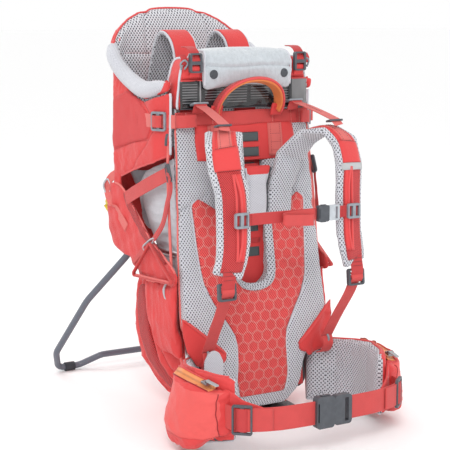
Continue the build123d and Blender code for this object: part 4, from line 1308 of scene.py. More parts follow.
# Rear of the cabin: two long seams, a stretch pocket with a bound mouth, and a row of webbing loops.
for name, s in sides():
    seam = on_side(s, (104, 320, 318), (108, 320, 420), (104, 320, 520), (92, 320, 622))
    seam = on_surface(tree, resample(seam, 5), (0, -1, 0), 0.3)
    cord_tube(f"cabin_rear_piping_{name}", relax(seam, 3), 1.9, TRIM_DEEP)
    stitches(f"cabin_rear_stitch_{name}", seam + np.array([-s * 6.0, 0.6, 0]), THREAD)
pocket_ring = [(-98, 326), (98, 326), (102, 380), (100, 452), (60, 444), (0, 438), (-60, 444), (-100, 452),
               (-102, 380)]
rear_net = patch("cabin_rear_pocket", tree, pocket_ring, "xz", (0, -1, 0), RED_NET_SHADE, lift=0.8, thick=1.4,
                 step=6, smooth=False)
mouth = [(x, 320, 438 + 14 * (x / 100) ** 2) for x in np.linspace(-100, 100, 30)]
tree = bvh(rear_net, wall)
_, mouth_grid = lay_strip("cabin_rear_pocket_hem", tree, on_surface(tree, mouth, (0, -1, 0), 0.0),
                          (0, 0.1, 1), (0, 1, 0.05), 14, STRAP, thick=1.6)
strip_stitches("cabin_rear_pocket_hem_stitch", mouth_grid, (1, 5), THREAD)
ladder = [(0, 320, z) for z in np.linspace(470, 606, 28)]
_, ladder_grid = lay_strip("cabin_rear_webbing", tree, on_surface(tree, ladder, (0, -1, 0), 0.0), (1, 0, 0),
                           (0, 1, 0.05), 22, STRAP, thick=1.6)
for k, row in enumerate((1, 6, 11, 16, 21, 26)):
    cross_stitch(f"cabin_rear_tack_{k + 1}", ladder_grid, row, THREAD_DARK, gap=0.7)
for k, z in enumerate((489, 536, 583)):
    arch = [(0, 0, z - 11), (0, 5.5, z - 6), (0, 7, z), (0, 5.5, z + 6), (0, 0, z + 11)]
    base = float(on_surface(tree, [(0, 320, z)], (0, -1, 0), 1.6)[0][1])
    strap(f"cabin_rear_loop_{k + 1}", [(x, y + base, q) for x, y, q in arch], 18, 1.5, (1, 0, 0), STRAP_PALE,
          step=2)

# Child's shoulder straps: fabric over mesh.
ROUTE = [(244, 540), (238, 590), (222, 640), (205, 676), (184, 690), (160, 684), (140, 664), (126, 616),
         (118, 560), (112, 486)]
for name, s in sides():
    under = strap(f"child_strap_mesh_{name}", [(s * 57, y, z) for y, z in ROUTE], 50, 6.4, (1, 0, 0),
                  MESH_OPEN_LIT, step=6)
    stands_for_pair(s, "child_straps")
    run = resample([(s * 57, y, z) for y, z in ROUTE], 6)
    out = np.cross(tangents(run), (1, 0, 0))
    out *= np.sign(np.sum(out * (run - np.array([s * 57, 175, 600])), 1))[:, None]
    over = strap(f"child_strap_cover_{name}", run + out * 4.6, 45, 3.2, (1, 0, 0), RED, step=6, smooth=False)
    for k, e in enumerate((-1, 1)):
        cord_tube(f"child_strap_edge_{name}_{k + 1}", run + out * 2.4 + np.array([e * 24.0, 0, 0]), 2.0,
                  GREY_TRIM)

# ------------------------------------------------------------------ seat

seat = soft("seat_sling_cloth", "seat_sling", SEAT, voxel=3.4, cap=3.0, settle=2,
            shrink=0.3)
folds(seat, 2.2, 46, 41, along=(0, 1, 0.6), stretch=2.0)
soft("seat_cushion", "seat_pad", SEAT, voxel=3.4, cap=4.0, settle=2)
for name, s in sides():
    gusset_ring = [(24, 262), (28, 300), (37, 400), (45, 474), (80, 462), (115, 452), (150, 440), (176, 420),
                   (178, 396), (140, 358), (110, 322), (90, 290), (66, 262)]
    flat, faces = fill_outline(gusset_ring, 5.0)
    verts = []
    for y, z in flat:
        seam = math.exp(-((y - 62 - (z - 390) * 0.12) / 5.0) ** 2)
        pucker = 1.6 * math.sin(z * 0.36 + 1.2 * math.sin(y * 0.07)) * math.exp(-((y - 62) / 34) ** 2)
        swell = 9.0 * math.sin(math.pi * min(1, max(0, (y - 24) / 160))) * math.sin(math.pi * (z - 258) / 222)
        verts.append((s * (128 + swell - 5.0 * seam + pucker), y, z))
    gusset = add_mesh(f"seat_gusset_{name}", verts, faces, SEAT, None)
    solidify(gusset, 1.6)
    subdivide(gusset)
    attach(gusset, "root")
    line = [(s * 126.4, 62 + (z - 390) * 0.12, z) for z in np.linspace(314, 460, 40)]
    stitches(f"seat_gusset_stitch_{name}", nearest_on(bvh(gusset), line, 0.1), THREAD_GREY)
dress("child_harness_buckle", PLASTIC)

# ------------------------------------------------------------------ lower bag and sides

bag = soft("lower_bag_shell", "lower_bag", RED, voxel=5.5, cap=9.0, settle=4,
           shrink=2.0)
co = points(bag) / MM
full = np.clip((co[:, 1] - 60) / 120, 0, 1) * np.clip((co[:, 2] - 30) / 60, 0, 1)
full = full * np.clip((262 - co[:, 2]) / 60, 0, 1)
co[:, 1] += 9.0 * full
co[:, 0] *= 1 + 0.02 * full
set_points(bag, co * MM)
tree = bvh(bag)
pleats = []
for s in (-1, 1):
    pleats += [on_side(s, (142, 150, 238), (142, 118, 200), (142, 92, 160), (138, 60, 110), (128, 30, 66)),
               on_side(s, (142, 178, 230), (142, 170, 170), (142, 150, 116), (132, 112, 62), (120, 70, 30)),
               on_side(s, (142, 128, 232), (142, 116, 180), (140, 92, 122), (130, 58, 60))]
bag_seams = [nearest_on(tree, resample(line, 5), 0.0) for line in pleats]
groove(bag, bag_seams, 6.0, 4.0)


def gathered(p):
    """Deep creases at the foot of the bag and near its pleats."""
    return 0.5 + 0.8 * np.clip((120 - p[:, 2]) / 100, 0, 1)


folds(bag, 3.4, 74, 51, along=(0, -0.35, 1), stretch=2.8, where=gathered)
folds(bag, 0.9, 26, 52, along=(0, -0.2, 1), stretch=2.0, where=gathered)
tree = bvh(bag)
for k, line in enumerate(bag_seams):
    if k % 3 < 2:
        stitches(f"lower_bag_seam_{k + 1}", nearest_on(tree, line, 0.1), THREAD)
for name, s in sides():
    net = [(167, 222), (160, 165), (128, 108), (84, 58), (62, 50), (54, 66), (86, 112), (114, 165),
           (126, 222)]
    patch(f"lower_bag_net_{name}", tree, net, "yz", (-s, 0, 0), RED_NET, lift=-0.4, thick=1.2, step=6)
    hem = on_side(s, (138, 30, 12), (140, 80, 16), (138, 120, 34), (134, 160, 84), (132, 190, 150))
    cord_tube(f"lower_bag_piping_{name}", nearest_on(tree, resample(hem, 5), 0.6), 1.8, TRIM_DEEP)
zip_line = [(x, 245, 236) for x in np.linspace(-104, 104, 30)]
lay_strip("lower_bag_zip", tree, on_surface(tree, zip_line, (0, -1, 0), 0), (0, 0.4, 1), (0, 1, 0.1), 15, ZIP,
          thick=1.0)
flap_line = [(x, 245, 250) for x in np.linspace(-108, 108, 30)]
_, flap_grid = lay_strip("lower_bag_zip_flap", tree, on_surface(tree, flap_line, (0, -1, 0), 0), (0, 0.3, 1),
                         (0, 1, 0.1), 16, RED_PALE, thick=2.4)
strip_stitches("lower_bag_flap_stitch", flap_grid, (1, 5), THREAD)

# Side pockets: the rear edge is drawn in towards the foot.
POCKET_FRONT, POCKET_DEPTH = -18, 130
pocket = soft("side_pocket", "side_pockets", RED, voxel=4.5, cap=5.0, settle=4)
co = points(pocket) / MM
rear = np.interp(co[:, 2], [92, 122, 172, 224, 270], [6, 62, 98, 113, 116])
co[:, 1] = POCKET_FRONT + (co[:, 1] - POCKET_FRONT) * (rear - POCKET_FRONT) / POCKET_DEPTH
set_points(pocket, co * MM)
folds(pocket, 1.8, 42, 61, along=(0, 0.1, 1), stretch=2.2)
by_place(pocket, lambda c, n: c[:, 2] > 261, [RED, RED_SMOOTH])
tree = bvh(pocket)
for name, s in sides():
    band_line = [(s * 160, y, 264) for y in np.linspace(-14, 108, 24)]
    cord_tube(f"side_pocket_hem_{name}", nearest_on(tree, resample(band_line, 5), 0.4), 2.2, TRIM)
    stitch_line = on_surface(tree, [(s * 165, y, 254) for y in np.linspace(-12, 96, 24)], (-s, 0, 0), 0.2)
    stitches(f"side_pocket_stitch_{name}", stitch_line, THREAD)

# Long piping from the cabin down to the hip belt.
for name, s in sides():
    run = [fp(s * 145, 500, 6), fp(s * 149, 460, 6), fp(s * 151.5, 400, 7), fp(s * 153.5, 300, 8),
           fp(s * 153.5, 220, 9), fp(s * 151, 150, 12), fp(s * 146, 116, 14)]
    cord_tube(f"side_edge_piping_{name}", resample(run, 5), 2.6, TRIM)

# Stretched side panels, with the soft flap over the stand's hinge.
SIDE = [(-14, 258), (-14, 279), (32, 304), (80, 326), (134, 366), (190, 404), (222, 412), (242, 408),
        (252, 384), (254, 350), (250, 322), (236, 298), (212, 287), (186, 283), (164, 280), (146, 268),
        (108, 257), (40, 255)]
for name, s in sides():
    flat, faces = fill_outline(resample(SIDE, 6, True, True), 6.0)
    verts = []
    for y, z in flat:
        bulge = 5.0 * math.exp(-((y - 222) / 34) ** 2 - ((z - 352) / 36) ** 2)
        crease = 1.1 * math.sin(0.10 * y + 0.16 * z) + 0.7 * math.sin(0.21 * y - 0.09 * z + 1.0)
        verts.append((s * (158.8 + bulge + crease * 0.8), y, z))
    panel = add_mesh(f"side_panel_{name}", verts, faces, RED, None)
    solidify(panel, 1.6)
    stands_for_pair(s, "side_panels")
    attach(panel, "root")
    resample(SIDE, 6, True, True)
    tree = bvh(panel)
    strip_ring = [(156, 362), (186, 392), (174, 398), (140, 374), (96, 340), (48, 314), (20, 298), (24, 288),
                  (60, 302), (106, 326)]
    patch(f"side_net_{name}", tree, strip_ring, "yz", (-s, 0, 0), RED_NET, lift=0.2, thick=1.0, step=6)
    hem = [(s * 159, y, z) for y, z in ((-14, 280), (32, 305), (80, 327), (134, 367), (190, 405), (222, 412))]
    cord_tube(f"side_panel_hem_{name}", nearest_on(tree, resample(hem, 5), 0.5), 2.0, TRIM)

# Entry straps with their locks and tails, the rear loop, and the small parts of the cabin's front edge.
for name, s in sides():
    run = on_side(s, (161.1, 176, 388), (162.5, 140, 402.5), (161.0, 90, 422.5), (156.0, 50, 439),
                  (151.6, 26, 449))
    side = np.array([0, 59.0, 146.0])
    lock = np.array([s * 151.6, 23.0, 450.5])
    down, over = np.array([0, -0.93, 0.37]), np.array([0, 0.37, 0.93])
    corners = [lock + down * a + over * b for a, b in ((-6, -15), (6, -15), (6, 15), (-6, 15))]
    corners = relax(resample(corners, 2, False, True), 3, True)
    ring = cord_tube(f"entry_lock_{name}", corners, 2.2, PLASTIC, closed=True)
    stands_for_pair(s, "entry_buckles")
    cord_tube(f"entry_lock_bar_{name}", resample([lock - over * 14, lock + over * 14], 3), 2.0, PLASTIC)
    piece = strap(f"entry_strap_{name}", run, 25, 1.9, side / np.linalg.norm(side), STRAP)
    stands_for_pair(s, "entry_straps")
    back_by = -9.0 if s < 0 else 22.0
    for k, by in enumerate((-3.4, 3.4)):
        tail = np.array(on_side(s, (153.6, 26, 449), (154.4, 16, 446), (155, 9 + by, 427),
                                (158.5, 15 + by, 398), (161.5, 26 + by, 362), (163.4, 52 + by, 335),
                                (163.8, 62, 327)))
        tail[1:, 1] = np.maximum(tail[1:, 1], back_by)
        strap(f"entry_strap_tail_{name}_{k + 1}", tail, 7.5, 1.4,
              [(0, 0.38, 0.92), (0, 0.5, 0.8), (0, 0.95, 0.1), (0, 0.95, 0.3), (0, 0.9, 0.45), (0, 0.8, 0.6),
               (0, 0.8, 0.6)], (STRAP_DEEP, STRAP)[k], step=4)
    hook = on_side(s, (163.2, 56, 331), (164, 66, 329), (164, 86, 319), (163.4, 100, 310), (163, 96, 304),
                   (163.2, 80, 312), (163.4, 64, 322))
    cord_tube(f"entry_strap_hook_{name}", resample(hook, 3, True, True), 1.9, PLASTIC_LIGHT, closed=True,
              flat=0.8)
    strap(f"entry_strap_anchor_{name}", on_side(s, (163.4, 94, 309), (163, 118, 292), (161.8, 146, 273)), 9,
          1.6, (0, 0.7, 0.7), STRAP, step=4)
    loop = on_side(s, (153, 236, 426), (156, 248, 420), (160, 256, 408), (161, 252, 394), (162.6, 232, 376),
                   (162.8, 196, 352), (162.0, 172, 334))
    strap(f"rear_loop_strap_{name}", loop, 18, 1.8, [(0, 0.5, 0.86)] * 2 + [(0.3 * s, 0.9, 0.3)] * 2 +
          [(0, 0.55, 0.83)] * 3, STRAP_PALE, step=4)
    ringline = resample(on_side(s, (160, 256, 416), (166, 262, 404), (163, 254, 388), (157, 247, 399)), 3,
                        True, True)
    cord_tube(f"rear_loop_ring_{name}", ringline, 1.8, PLASTIC_LIGHT, closed=True)
    strap(f"rear_tab_{name}", on_side(s, (157, 250, 378), (158, 262, 374), (158, 268, 366), (157, 262, 358),
                                      (157, 250, 356)), 12, 1.2, (0, 0.1, 1), YELLOW_TAB, step=3)
    # Zip pull on the cabin's front edge.
    pull = on_side(s, (158, 14, 520), (161, 12, 512), (161.5, 13, 500))
    cord_tube(f"cabin_zip_pull_{name}", resample(pull, 3), 2.8, PLASTIC, flat=0.6)
    hook = [fp(s * x, v, w) for x, v, w in ((153, 262, 0), (159, 258, -4), (163, 246, -8), (162, 232, -6),
                                            (156, 226, 0))]
    cord_tube(f"side_edge_hook_{name}", resample(hook, 3), 2.4, PLASTIC_LIGHT, flat=0.6)

# Compression straps: webbing through a wire ladder lock on each side.
COMPRESSION_Z = 539.5
for name, s in sides():
    run = on_side(s, (160.6, 134, COMPRESSION_Z), (160.8, 100, COMPRESSION_Z), (160.6, 64, COMPRESSION_Z),
                  (150, 42, COMPRESSION_Z), (138, 20.5, COMPRESSION_Z))
    piece = strap(f"compression_strap_{name}", run, 24, 1.9, (0, 0, 1), STRAP_PALE)
    stands_for_pair(s, "compression_straps")
    run = np.array(on_side(s, (138, 20.5, COMPRESSION_Z), (134, 12, 540), (126, 2, 541), (108, -1.5, 542)))
    strap(f"compression_strap_end_{name}", run, 22, 1.9, (0, 0, 1), STRAP)
    strap(f"compression_lock_webbing_{name}", on_side(s, (160.8, 66, COMPRESSION_Z),
                                                      (164.5, 58, COMPRESSION_Z), (164.8, 50, COMPRESSION_Z),
                                                      (162, 43, COMPRESSION_Z), (155, 40, COMPRESSION_Z)), 21,
          1.8, (0, 0, 1), STRAP, step=2.5)
    for k, y in enumerate((128, 122)):
        stitches(f"compression_tack_{name}_{k + 1}", on_side(s, (162.0, y, 529), (162.0, y, 550)), THREAD)

# Stirrups: a webbing triangle with a padded foot bar.
STIRRUP_X = 167.5
for name, s in sides():
    loop = np.array(on_side(s, (STIRRUP_X, 66, 322), (STIRRUP_X, 100, 289), (STIRRUP_X, 133, 257),
                            (STIRRUP_X, 130, 252), (STIRRUP_X, 56, 257), (STIRRUP_X, -16, 262.5),
                            (STIRRUP_X, -19, 265), (STIRRUP_X, 20, 291)))
    path = resample(loop, 4, False, True)
    piece = sweep(f"stirrup_webbing_{name}", path, [(-3.4, -1.1), (0, -1.3), (3.4, -1.1), (3.4, 1.1),
                                                    (0, 1.3), (-3.4, 1.1)], (1, 0, 0), STRAP,
                  f"stirrup_{name}", closed=True)
    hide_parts(f"stirrup_{name}")
    bar = resample(on_side(s, (STIRRUP_X, 122, 255), (STIRRUP_X, 56, 259.2), (STIRRUP_X, -10, 264)), 4)
    cord_tube(f"stirrup_bar_{name}", bar, 2.6, TRIM, f"stirrup_{name}", flat=0.8)

# ------------------------------------------------------------------ shoulder harness

# Middle line of the right-hand pad, from the yoke over the shoulder and down to the ladder lock.
STATIONS = [(46, -24, 368), (49, -26, 420), (62, -32, 474), (84, -58, 512), (106, -92, 526), (121, -117, 507),
            (124, -130, 470), (118, -137, 432), (117, -139, 400), (117, -141, 352), (121, -142, 322),
            (128, -141, 290)]
SPANS = len(STATIONS) - 1
PATCH_START, PATCH_END = 5.8, 6.7
mid = resample(STATIONS, 6)


def between(first, last):
    """Points of the middle line between two places, counted in spans of STATIONS."""
    n = len(mid) - 1
    return slice(int(round(first / SPANS * n)), int(round(last / SPANS * n)) + 1)


for name, s in sides():
    pad = soft(f"shoulder_pad_cover_{name}", f"shoulder_pad_{name}", MESH, voxel=3.6, cap=4.0,
               settle=3, body="harness", shrink=0.6)
    tree = bvh(pad)
    line = mid * np.array([s, 1, 1])
    t = tangents(line)
    out = np.cross((1, 0, 0), t)
    out *= np.sign(np.sum(out * (line - np.array([s * 100, -60, 300])), 1))[:, None]
    out[line[:, 2] > 500] += np.array([0, 0, 0.4])
    out[:, 0] += s * 0.05
    out = np.stack([v / np.linalg.norm(v) for v in relax(out, 6)])
    part = between(3.9, PATCH_END)
    cover, cover_grid = lay_strip(f"shoulder_panel_upper_{name}", tree, line[part], (1, 0, 0), out[part], 44,
                                  RED_SMOOTH, "harness", thick=1.6, step=6, smooth=False, columns=9)
    part = between(PATCH_END - 0.11, 10.7)
    lower, lower_grid = lay_strip(f"shoulder_panel_lower_{name}", tree, line[part], (1, 0, 0), out[part], 41,
                                  RED_MESH, "harness", thick=1.4, step=6, smooth=False, columns=9,
                                  taper=[1, 1, 1, 0.98, 0.9])
    strip_stitches(f"shoulder_panel_stitch_{name}", cover_grid, (1, 7), THREAD, "harness")
    strip_stitches(f"shoulder_mesh_stitch_{name}", lower_grid, (1, 7), THREAD, "harness")
    tree = bvh(pad, cover, lower)
    part = between(4.15, PATCH_START + 0.11)
    _, grid = lay_strip(f"shoulder_webbing_{name}", tree, line[part], (1, 0, 0), out[part], 25, STRAP_PALE,
                        "harness", thick=1.8, step=6, smooth=False)
    strip_stitches(f"shoulder_webbing_stitch_{name}", grid, (1, 5), THREAD_DARK, "harness")
    part = between(PATCH_START, PATCH_END)
    _, grid = lay_strip(f"shoulder_blank_patch_{name}", tree, line[part], (1, 0, 0), out[part], 45,
                        RED_SMOOTH, "harness", thick=2.4, step=4, smooth=False, columns=9)
    for k, row in enumerate((0, -1)):
        cross_stitch(f"shoulder_patch_stitch_{name}_{k + 1}", grid, row, THREAD_DARK, "harness", gap=1.0)
    # Slot rail for the chest strap: two piped edges with a dark strip between them, painted shade for the
    # slot.
    part = between(PATCH_END + 0.11, 10.3)
    tree = bvh(pad, lower)
    rail = line[part] + np.array([-s * 6.0, 0, 0])
    _, rail_grid = lay_strip(f"shoulder_rail_shaded_gap_{name}", tree, rail, (1, 0, 0), out[part], 8.5, RED_PAINTED_SHADE,
                             "harness", thick=0.8, step=5, smooth=False, columns=5,
                             taper=[0.3, 0.9, 1, 1, 0.9, 0.3])
    for k, j in enumerate((0, -1)):
        cord_tube(f"shoulder_rail_{name}_{k + 1}", rail_grid[:, j] + out[part][0] * 0.4, 2.2, TRIM_DEEP,
                  "harness")
    web = line[part] + np.array([-s * 13.5, 0, 0])
    lay_strip(f"shoulder_rail_band_{name}", tree, web, (1, 0, 0), out[part], 9, RED_SMOOTH, "harness",
              thick=1.6, step=6, smooth=False, columns=5)
    # Bartacked webbing down to the ladder lock.
    low_end = on_side(s, (127, -149.5, 306), (129.5, -150.4, 290), (131, -150.2, 279), (131, -148.6, 270),
                      (131, -145.0, 262))
    strap(f"adjuster_webbing_{name}", low_end, 25, 2.0, (1, 0, 0), STRAP_DEEP, "harness", step=3)
    for k, z in enumerate((303, 296, 289)):
        stitches(f"adjuster_tack_{name}_{k + 1}", on_side(s, (119, -151.6, z), (139, -151.6, z)), THREAD_DARK,
                 "harness", gap=0.6)
    strap(f"adjuster_bar_webbing_{name}", on_side(s, (131, -146, 277), (131, -150.4, 271), (131, -150.4, 266),
                                                  (131, -146, 259)), 24, 1.8, (1, 0, 0), STRAP, "harness",
          step=2)
    if s > 0:
        part = between(6.72, 7.04)
        tree = bvh(pad, cover, lower)
        lay_strip(f"elastic_keeper_{name}", tree, line[part], (1, 0, 0), out[part], 50, ELASTIC, "harness",
                  thick=2.0, step=4, smooth=False, columns=9, lift=1.2)

yoke = soft("yoke_bib", "yoke_pad", MESH_FINE, voxel=3.4, cap=3.0, settle=3, body="harness")
by_place(yoke, lambda c, n: c[:, 2] > 446, [MESH_FINE, RED_SMOOTH])
for name, s in sides():
    edge = resample([(s * 27, -31, z) for z in np.linspace(374, 458, 16)], 5)
    # Dark binding on the right edge is painted shade; the left edge keeps the grey binding.
    cord_tube(f"yoke_edge_{name}", nearest_on(bvh(yoke), edge, 0.4), 2.0, DARK_TRIM if s > 0 else GREY_TRIM,
              "harness")

# Load lifters and lower straps cross the joint of the sliding harness.
for name, s in sides():
    start, end = (s * 99, -2, 567), (s * 112, -104, 543)
    run = [start, (s * 102, -28, 562.5), (s * 107, -66, 553.5), end]
    lifter = strap(f"load_lifter_{name}", run, 20, 1.7, (1, 0, 0), STRAP_PALE, body=None, step=5)
    stands_for_pair(s, "load_lifter_straps")
    if s > 0:
        thread = stitches("load_lifter_stitch_right", [(102, -28, 564), (107, -66, 555)], THREAD_DARK,
                          body=None)
        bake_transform(thread)
    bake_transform(lifter)
    strap(f"lifter_pad_webbing_{name}", on_side(s, (112.5, -100, 542), (113.5, -106, 538.5),
                                                (115, -111, 533.5)), 19, 1.6, (1, 0, 0), STRAP_PALE,
          "harness", step=3)
    strap(f"lifter_ring_webbing_{name}", on_side(s, (98, 14, 553), (98, 10.5, 561), (98, 5.5, 569),
                                                 (98.5, 1.5, 570), (99, -2.6, 567.5)), 22, 1.8, (1, 0, 0),
          STRAP, step=2.5)
    start, end = (s * 131, -141, 262), (s * 124, -68, 147)
    run = [start, (s * 129.6, -128, 236), (s * 126.5, -96, 190), end]
    lower_strap = strap(f"lower_strap_{name}", run, 25, 1.9, (1, 0.05, 0), STRAP, body=None, step=5)
    stands_for_pair(s, "lower_straps")
    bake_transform(lower_strap)
    # Stabiliser wing: a red triangle from the pad's edge to a hook on the hip belt.
    tri = [fp(s * 153, 196, 18), fp(s * 122, 168, 34), fp(s * 98, 146, 42), fp(s * 76, 128, 46)]
    shape = [(s * x, fp(0, v, 34)[2]) for x, v in ((156, 200), (120, 168), (76, 128), (78, 112), (100, 104),
                                                   (130, 112), (150, 140), (156, 170))]
    wing = patch(f"stabiliser_wing_{name}", bvh(back), shape, "xz", -FRONT, RED_SMOOTH, lift=1.0, thick=1.8,
                 step=6, smooth=False)
    tri = on_surface(bvh(wing), resample(tri, 4), -FRONT, 0.4)
    cord_tube(f"stabiliser_edge_{name}", relax(tri, 3), 1.8, TRIM_DEEP)
    hook = on_side(s, (124, -64, 152), (125, -70, 147), (126, -72, 140), (124, -68, 134), (122, -63, 137))
    cord_tube(f"stabiliser_hook_{name}", resample(hook, 2.5), 2.2, PLASTIC_GREY)
    strap(f"stabiliser_tab_{name}", on_side(s, (124, -66, 150), (124.4, -70, 142), (124.6, -72, 130),
                                            (124, -62, 116), (122, -50, 112)), 22, 2.0, (1, 0, 0), STRAP,
          step=3)

# Chest strap: two webbing runs and the folded loop of spare webbing.
low, high = box_mm("chest_webbing")
y = (low[1] + high[1]) / 2
body = "chest_strap"
CHEST_Z = 389
for name, places in (("left", (-126, -100, -60, -20, 38)), ("right", (82, 104, 126))):
    piece = strap(f"chest_webbing_{name}", [(x, y, CHEST_Z) for x in places], 20, 1.8, (0, 0, 1), STRAP_DEEP,
                  body)
    if name == "left":
        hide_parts("chest_webbing")
fold = [(34, y - 2.4, CHEST_Z), (10, y - 2.6, 388.5), (-20, y - 3.4, 387.5), (-34, y - 7, 386),
        (-31, y - 11.5, 384.5), (-10, y - 10.2, 382.5), (20, y - 8.4, 380.5), (27, y - 7.6, 380)]
strap("chest_webbing_fold", fold, 19, 1.6, (0, 0.1, 1), STRAP, body, step=4)
for k, x in enumerate((-96, -92, 90)):
    stitches(f"chest_tack_{k + 1}", [(x, y - 1.4, 382), (x, y - 1.4, 396)], THREAD, body, gap=0.8)

# ------------------------------------------------------------------ hip belt

hips = soft("hip_wing_pads", "hip_wings", MESH, voxel=4.5, cap=5.0, settle=4)
co = points(hips) / MM
bow_up = np.interp(-co[:, 1], [0, 30, 80, 140, 190, 230], [4, 14, 19, 20, 14, 2])
co[:, 2] += bow_up * np.clip((co[:, 2] - 50) / 70, 0, 1)
set_points(hips, co * MM)
folds(hips, 0.9, 50, 71, along=(0, 1, 0), stretch=1.6)


def outer_side(c, n):
    """0 on the body side of a hip wing, 1 outside it, 2 along its foot."""
    out = (np.abs(c[:, 0]) - 60) * n[:, 0] * np.sign(c[:, 0]) + (-c[:, 1] - 40) * -n[:, 1] * 0.2 > 0
    foot = (n[:, 2] < -0.55)
    return np.where(foot, 2, np.where(out, 1, 0))


by_place(hips, outer_side, [MESH, RED, BASE_CLOTH])
tree = bvh(hips)
wing_points = points(hips) / MM
BELT_Z = 78
PLAN = [(114, -13), (152, -42), (176, -92), (174, -145), (144, -203)]
for name, s in sides():
    top_edge = []
    for x, y in resample(PLAN, 5):
        near = wing_points[np.hypot(wing_points[:, 0] - s * x, wing_points[:, 1] - y) < 15]
        if len(near):
            top_edge.append(near[near[:, 2].argmax()])
    cord_tube(f"hip_wing_piping_{name}", resample(relax(np.array(top_edge), 8), 5), 2.2, TRIM_DEEP)
    foot = [(s * x, y, 6) for x, y in resample(PLAN, 5)]
    cord_tube(f"hip_wing_foot_piping_{name}", relax(nearest_on(tree, np.array(foot), 0.8), 3), 2.4, GREY_TRIM)

pockets = soft("hip_pocket_pouch", "hip_pockets", RED_PALE, voxel=4.5, cap=7.0, settle=4,
               shrink=1.2)


co = points(pockets) / MM
pouch = np.exp(-((co[:, 2] - 52) / 42) ** 2) * np.exp(-((co[:, 1] + 128) / 66) ** 4)
co[:, 0] += np.sign(co[:, 0]) * 15 * pouch
co[:, 1] += 7 * pouch * (co[:, 1] > -150)
front_end = np.clip((-160 - co[:, 1]) / 50, 0, 1)
co[:, 2] += front_end * (24 * np.clip((75 - co[:, 2]) / 60, 0, 1) - 12 * np.clip((co[:, 2] - 90) / 40, 0, 1))
co[:, 2] += 9 * np.clip((184 - np.abs(co[:, 0])) / 18, 0, 1) * np.clip((co[:, 2] - 96) / 24, 0, 1)
set_points(pockets, co * MM)


def low_front(p):
    """More creases at the foot and the front end of a pocket."""
    return 0.6 + 1.0 * np.clip((80 - p[:, 2]) / 60, 0, 1) + 0.6 * np.clip((-p[:, 1] - 160) / 30, 0, 1)


folds(pockets, 2.1, 44, 81, along=(0, 1, 0.5), stretch=1.8, where=low_front)
cut_planes(pockets, [((0, 0, 37), (0, 0, 1)), ((0, 0, 116), (0, 0, 1)), ((0, -203, 80), (0, 1, 0))])


def pocket_zone(c, n):
    """0 on the pouch, 1 along its foot, 2 over its top and front end."""
    foot = c[:, 2] < 37
    cap_ = (c[:, 2] > 116) & (n[:, 2] > 0.2)
    return np.where(foot, 1, np.where(cap_ | (c[:, 1] < -203), 2, 0))


by_place(pockets, pocket_zone, [RED_PALE, RED, RED_SMOOTH])
tree = bvh(pockets)
for name, s in sides():
    rear, front = np.array([s * 200, -96, 133.0]), np.array([s * 186, -180, 124.0])
    run = (front - rear) / np.linalg.norm(front - rear)
    out = np.array([s * 0.80, -0.12, 0.58])
    line = [rear - run * 12, rear + (front - rear) * 0.5 + np.array([s * 2, 0, 0]), front + run * 6]
    _, tape_grid = lay_strip(f"hip_pocket_zip_{name}", tree, line, np.cross(run, out), out, 17, ZIP,
                             thick=1.4, step=5, lift=0.2)
    cord_tube(f"hip_pocket_zip_edge_{name}", tape_grid[:, 0], 1.3, TRIM_DEEP)
    cord_tube(f"hip_pocket_zip_edge_low_{name}", tape_grid[:, -1], 1.0, THREAD)
    seam = on_side(s, (182, -206, 122), (188, -209, 95), (186, -210, 60), (178, -207, 26))
    cord_tube(f"hip_pocket_end_seam_{name}", relax(nearest_on(tree, resample(seam, 4), 0.2), 2), 1.0, THREAD)
    foot_line = [(s * (x + 6), y, 37) for x, y in resample([(182, -66), (208, -96), (217, -134), (204, -186),
                                                            (170, -212)], 5)]
    stitches(f"hip_pocket_foot_stitch_{name}", nearest_on(tree, np.array(foot_line), 0.3), THREAD)
    top_line = [(s * (x - 4), y, 134) for x, y in resample([(180, -74), (196, -96), (200, -130), (188, -180)],
            5)]
    stitches(f"hip_pocket_top_stitch_{name}", nearest_on(tree, np.array(top_line), 0.3), THREAD)
    # Belt webbing from the pocket to the buckle, its spare end, and the turn round the slider frame.
    plan = [(170, -194), (160, -236), (104, -262), (31, -268)]
    belt = strap(f"belt_webbing_{name}", [(s * x, y, BELT_Z) for x, y in plan], 40, 2.3, (0, 0, 1), STRAP,
                 step=6)
    stands_for_pair(s, "belt_webbing")
    fold = on_side(s, (156, -240, BELT_Z), (150, -247, BELT_Z), (128, -258, BELT_Z), (112, -263, BELT_Z))
    strap(f"belt_webbing_tail_{name}", fold, 38, 2.0, (0, 0, 1), STRAP, step=5)
    strap(f"belt_slider_webbing_{name}", on_side(s, (164, -229, BELT_Z), (163.4, -236, BELT_Z),
                                                 (160.5, -241.5, BELT_Z), (155.5, -245.5, BELT_Z),
                                                 (150, -246, BELT_Z)), 39, 2.2, (0, 0, 1), STRAP_DEEP,
          step=2.5)
    # Tapered end of the hip wing, sewn to the belt webbing.
    outline = [(0, 40), (0, 122), (14, 117), (34, 104), (60, 97), (72, 92), (72, 64), (58, 58), (34, 50),
               (14, 42)]
    flat, faces = fill_outline(resample(outline, 5, False, True), 5.0)
    start, run = np.array([s * 168.0, -198.0, 0.0]), np.array([s * -58.0, -56.0, 0.0]) / 80.6
    facing = np.array([s * 0.69, -0.72, 0.0])
    verts = []
    for a, b in flat:
        swell = 5.0 * math.sin(math.pi * min(1, a / 74)) * math.sin(math.pi * (b - 36) / 90)
        verts.append(start + run * a + np.array([0, 0, b]) - facing * (3.2 + 0.020 * a - swell))
    wing_end = add_mesh(f"hip_wing_end_{name}", verts, faces, RED, None)
    solidify(wing_end, 4, -1 * s)
    subdivide(wing_end)
    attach(wing_end, "root")

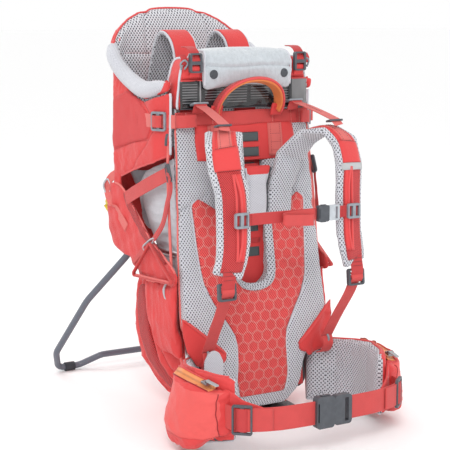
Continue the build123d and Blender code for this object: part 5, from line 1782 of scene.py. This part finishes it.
# Rounded pale end of the back pad, seen between the left pocket and the back.
lobe_ring = [(-17, -30), (-17, 8), (-10, 24), (0, 29), (10, 24), (17, 8), (17, -30)]
flat, faces = fill_outline(resample(lobe_ring, 4, False, True), 4.0)
centre = np.array([-118.0, -76.0, 124.0])
sideways, facing = np.array([0.95, -0.3, 0.0]), np.array([-0.3, -0.95, 0.0])
verts = [centre + sideways * a + np.array([0, 0, b]) + facing * 4.0 * math.sqrt(max(0, 1 - (a / 19) ** 2))
         for a, b in flat]
lobe = add_mesh("hip_pad_end", verts, faces, MESH_FINE, None)
solidify(lobe, 5)
subdivide(lobe)
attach(lobe, "root")

# ------------------------------------------------------------------ camera, floor and light

scene = bpy.context.scene
scene.view_settings.view_transform = "Standard"
target = Vector((0, 0.088, 0.338))
azimuth, elevation, distance = math.radians(-30), math.radians(9.2), 2.4
toward = Vector((math.sin(azimuth) * math.cos(elevation), -math.cos(azimuth) * math.cos(elevation),
                 math.sin(elevation)))
cam = bpy.data.objects.new("camera", bpy.data.cameras.new("camera"))
cam.data.lens, cam.data.sensor_width = 103.4, 36.0
cam.location = target + toward * distance
cam.rotation_euler = (-toward).to_track_quat("-Z", "Y").to_euler()
scene.collection.objects.link(cam)
scene.camera = cam

floor = bpy.data.objects.new("floor", bpy.data.meshes.new("floor"))
FLOOR_HALF = 60                  # metres
floor.data.from_pydata([(x * FLOOR_HALF, y * FLOOR_HALF, 0) for x, y in ((-1, -1), (1, -1), (1, 1), (-1, 1))],
                       [], [(0, 1, 2, 3)])
scene.collection.objects.link(floor)
paint = Nodes("floor_paint", 0.9)
paint.color((0.99, 0.99, 0.99))
floor.data.materials.append(paint.material)

world = bpy.data.worlds.new("world")
world.use_nodes = True
world.node_tree.nodes["Background"].inputs["Color"].default_value = (1, 1, 1, 1)
world.node_tree.nodes["Background"].inputs["Strength"].default_value = 1.0
scene.world = world


def soft_light(name, place, size, power):
    """Square area light aimed at the middle of the carrier."""
    lamp = bpy.data.objects.new(name, bpy.data.lights.new(name, "AREA"))
    lamp.data.energy, lamp.data.size = power, size
    lamp.location = place
    lamp.rotation_euler = (Vector((0, 0.05, 0.35)) - Vector(place)).to_track_quat("-Z", "Y").to_euler()
    scene.collection.objects.link(lamp)


soft_light("key", (-1.5, -2.4, 2.3), 0.9, 36)
soft_light("fill", (2.2, -1.6, 1.0), 1.6, 6)
soft_light("rim", (-0.6, 2.2, 2.2), 1.2, 14)
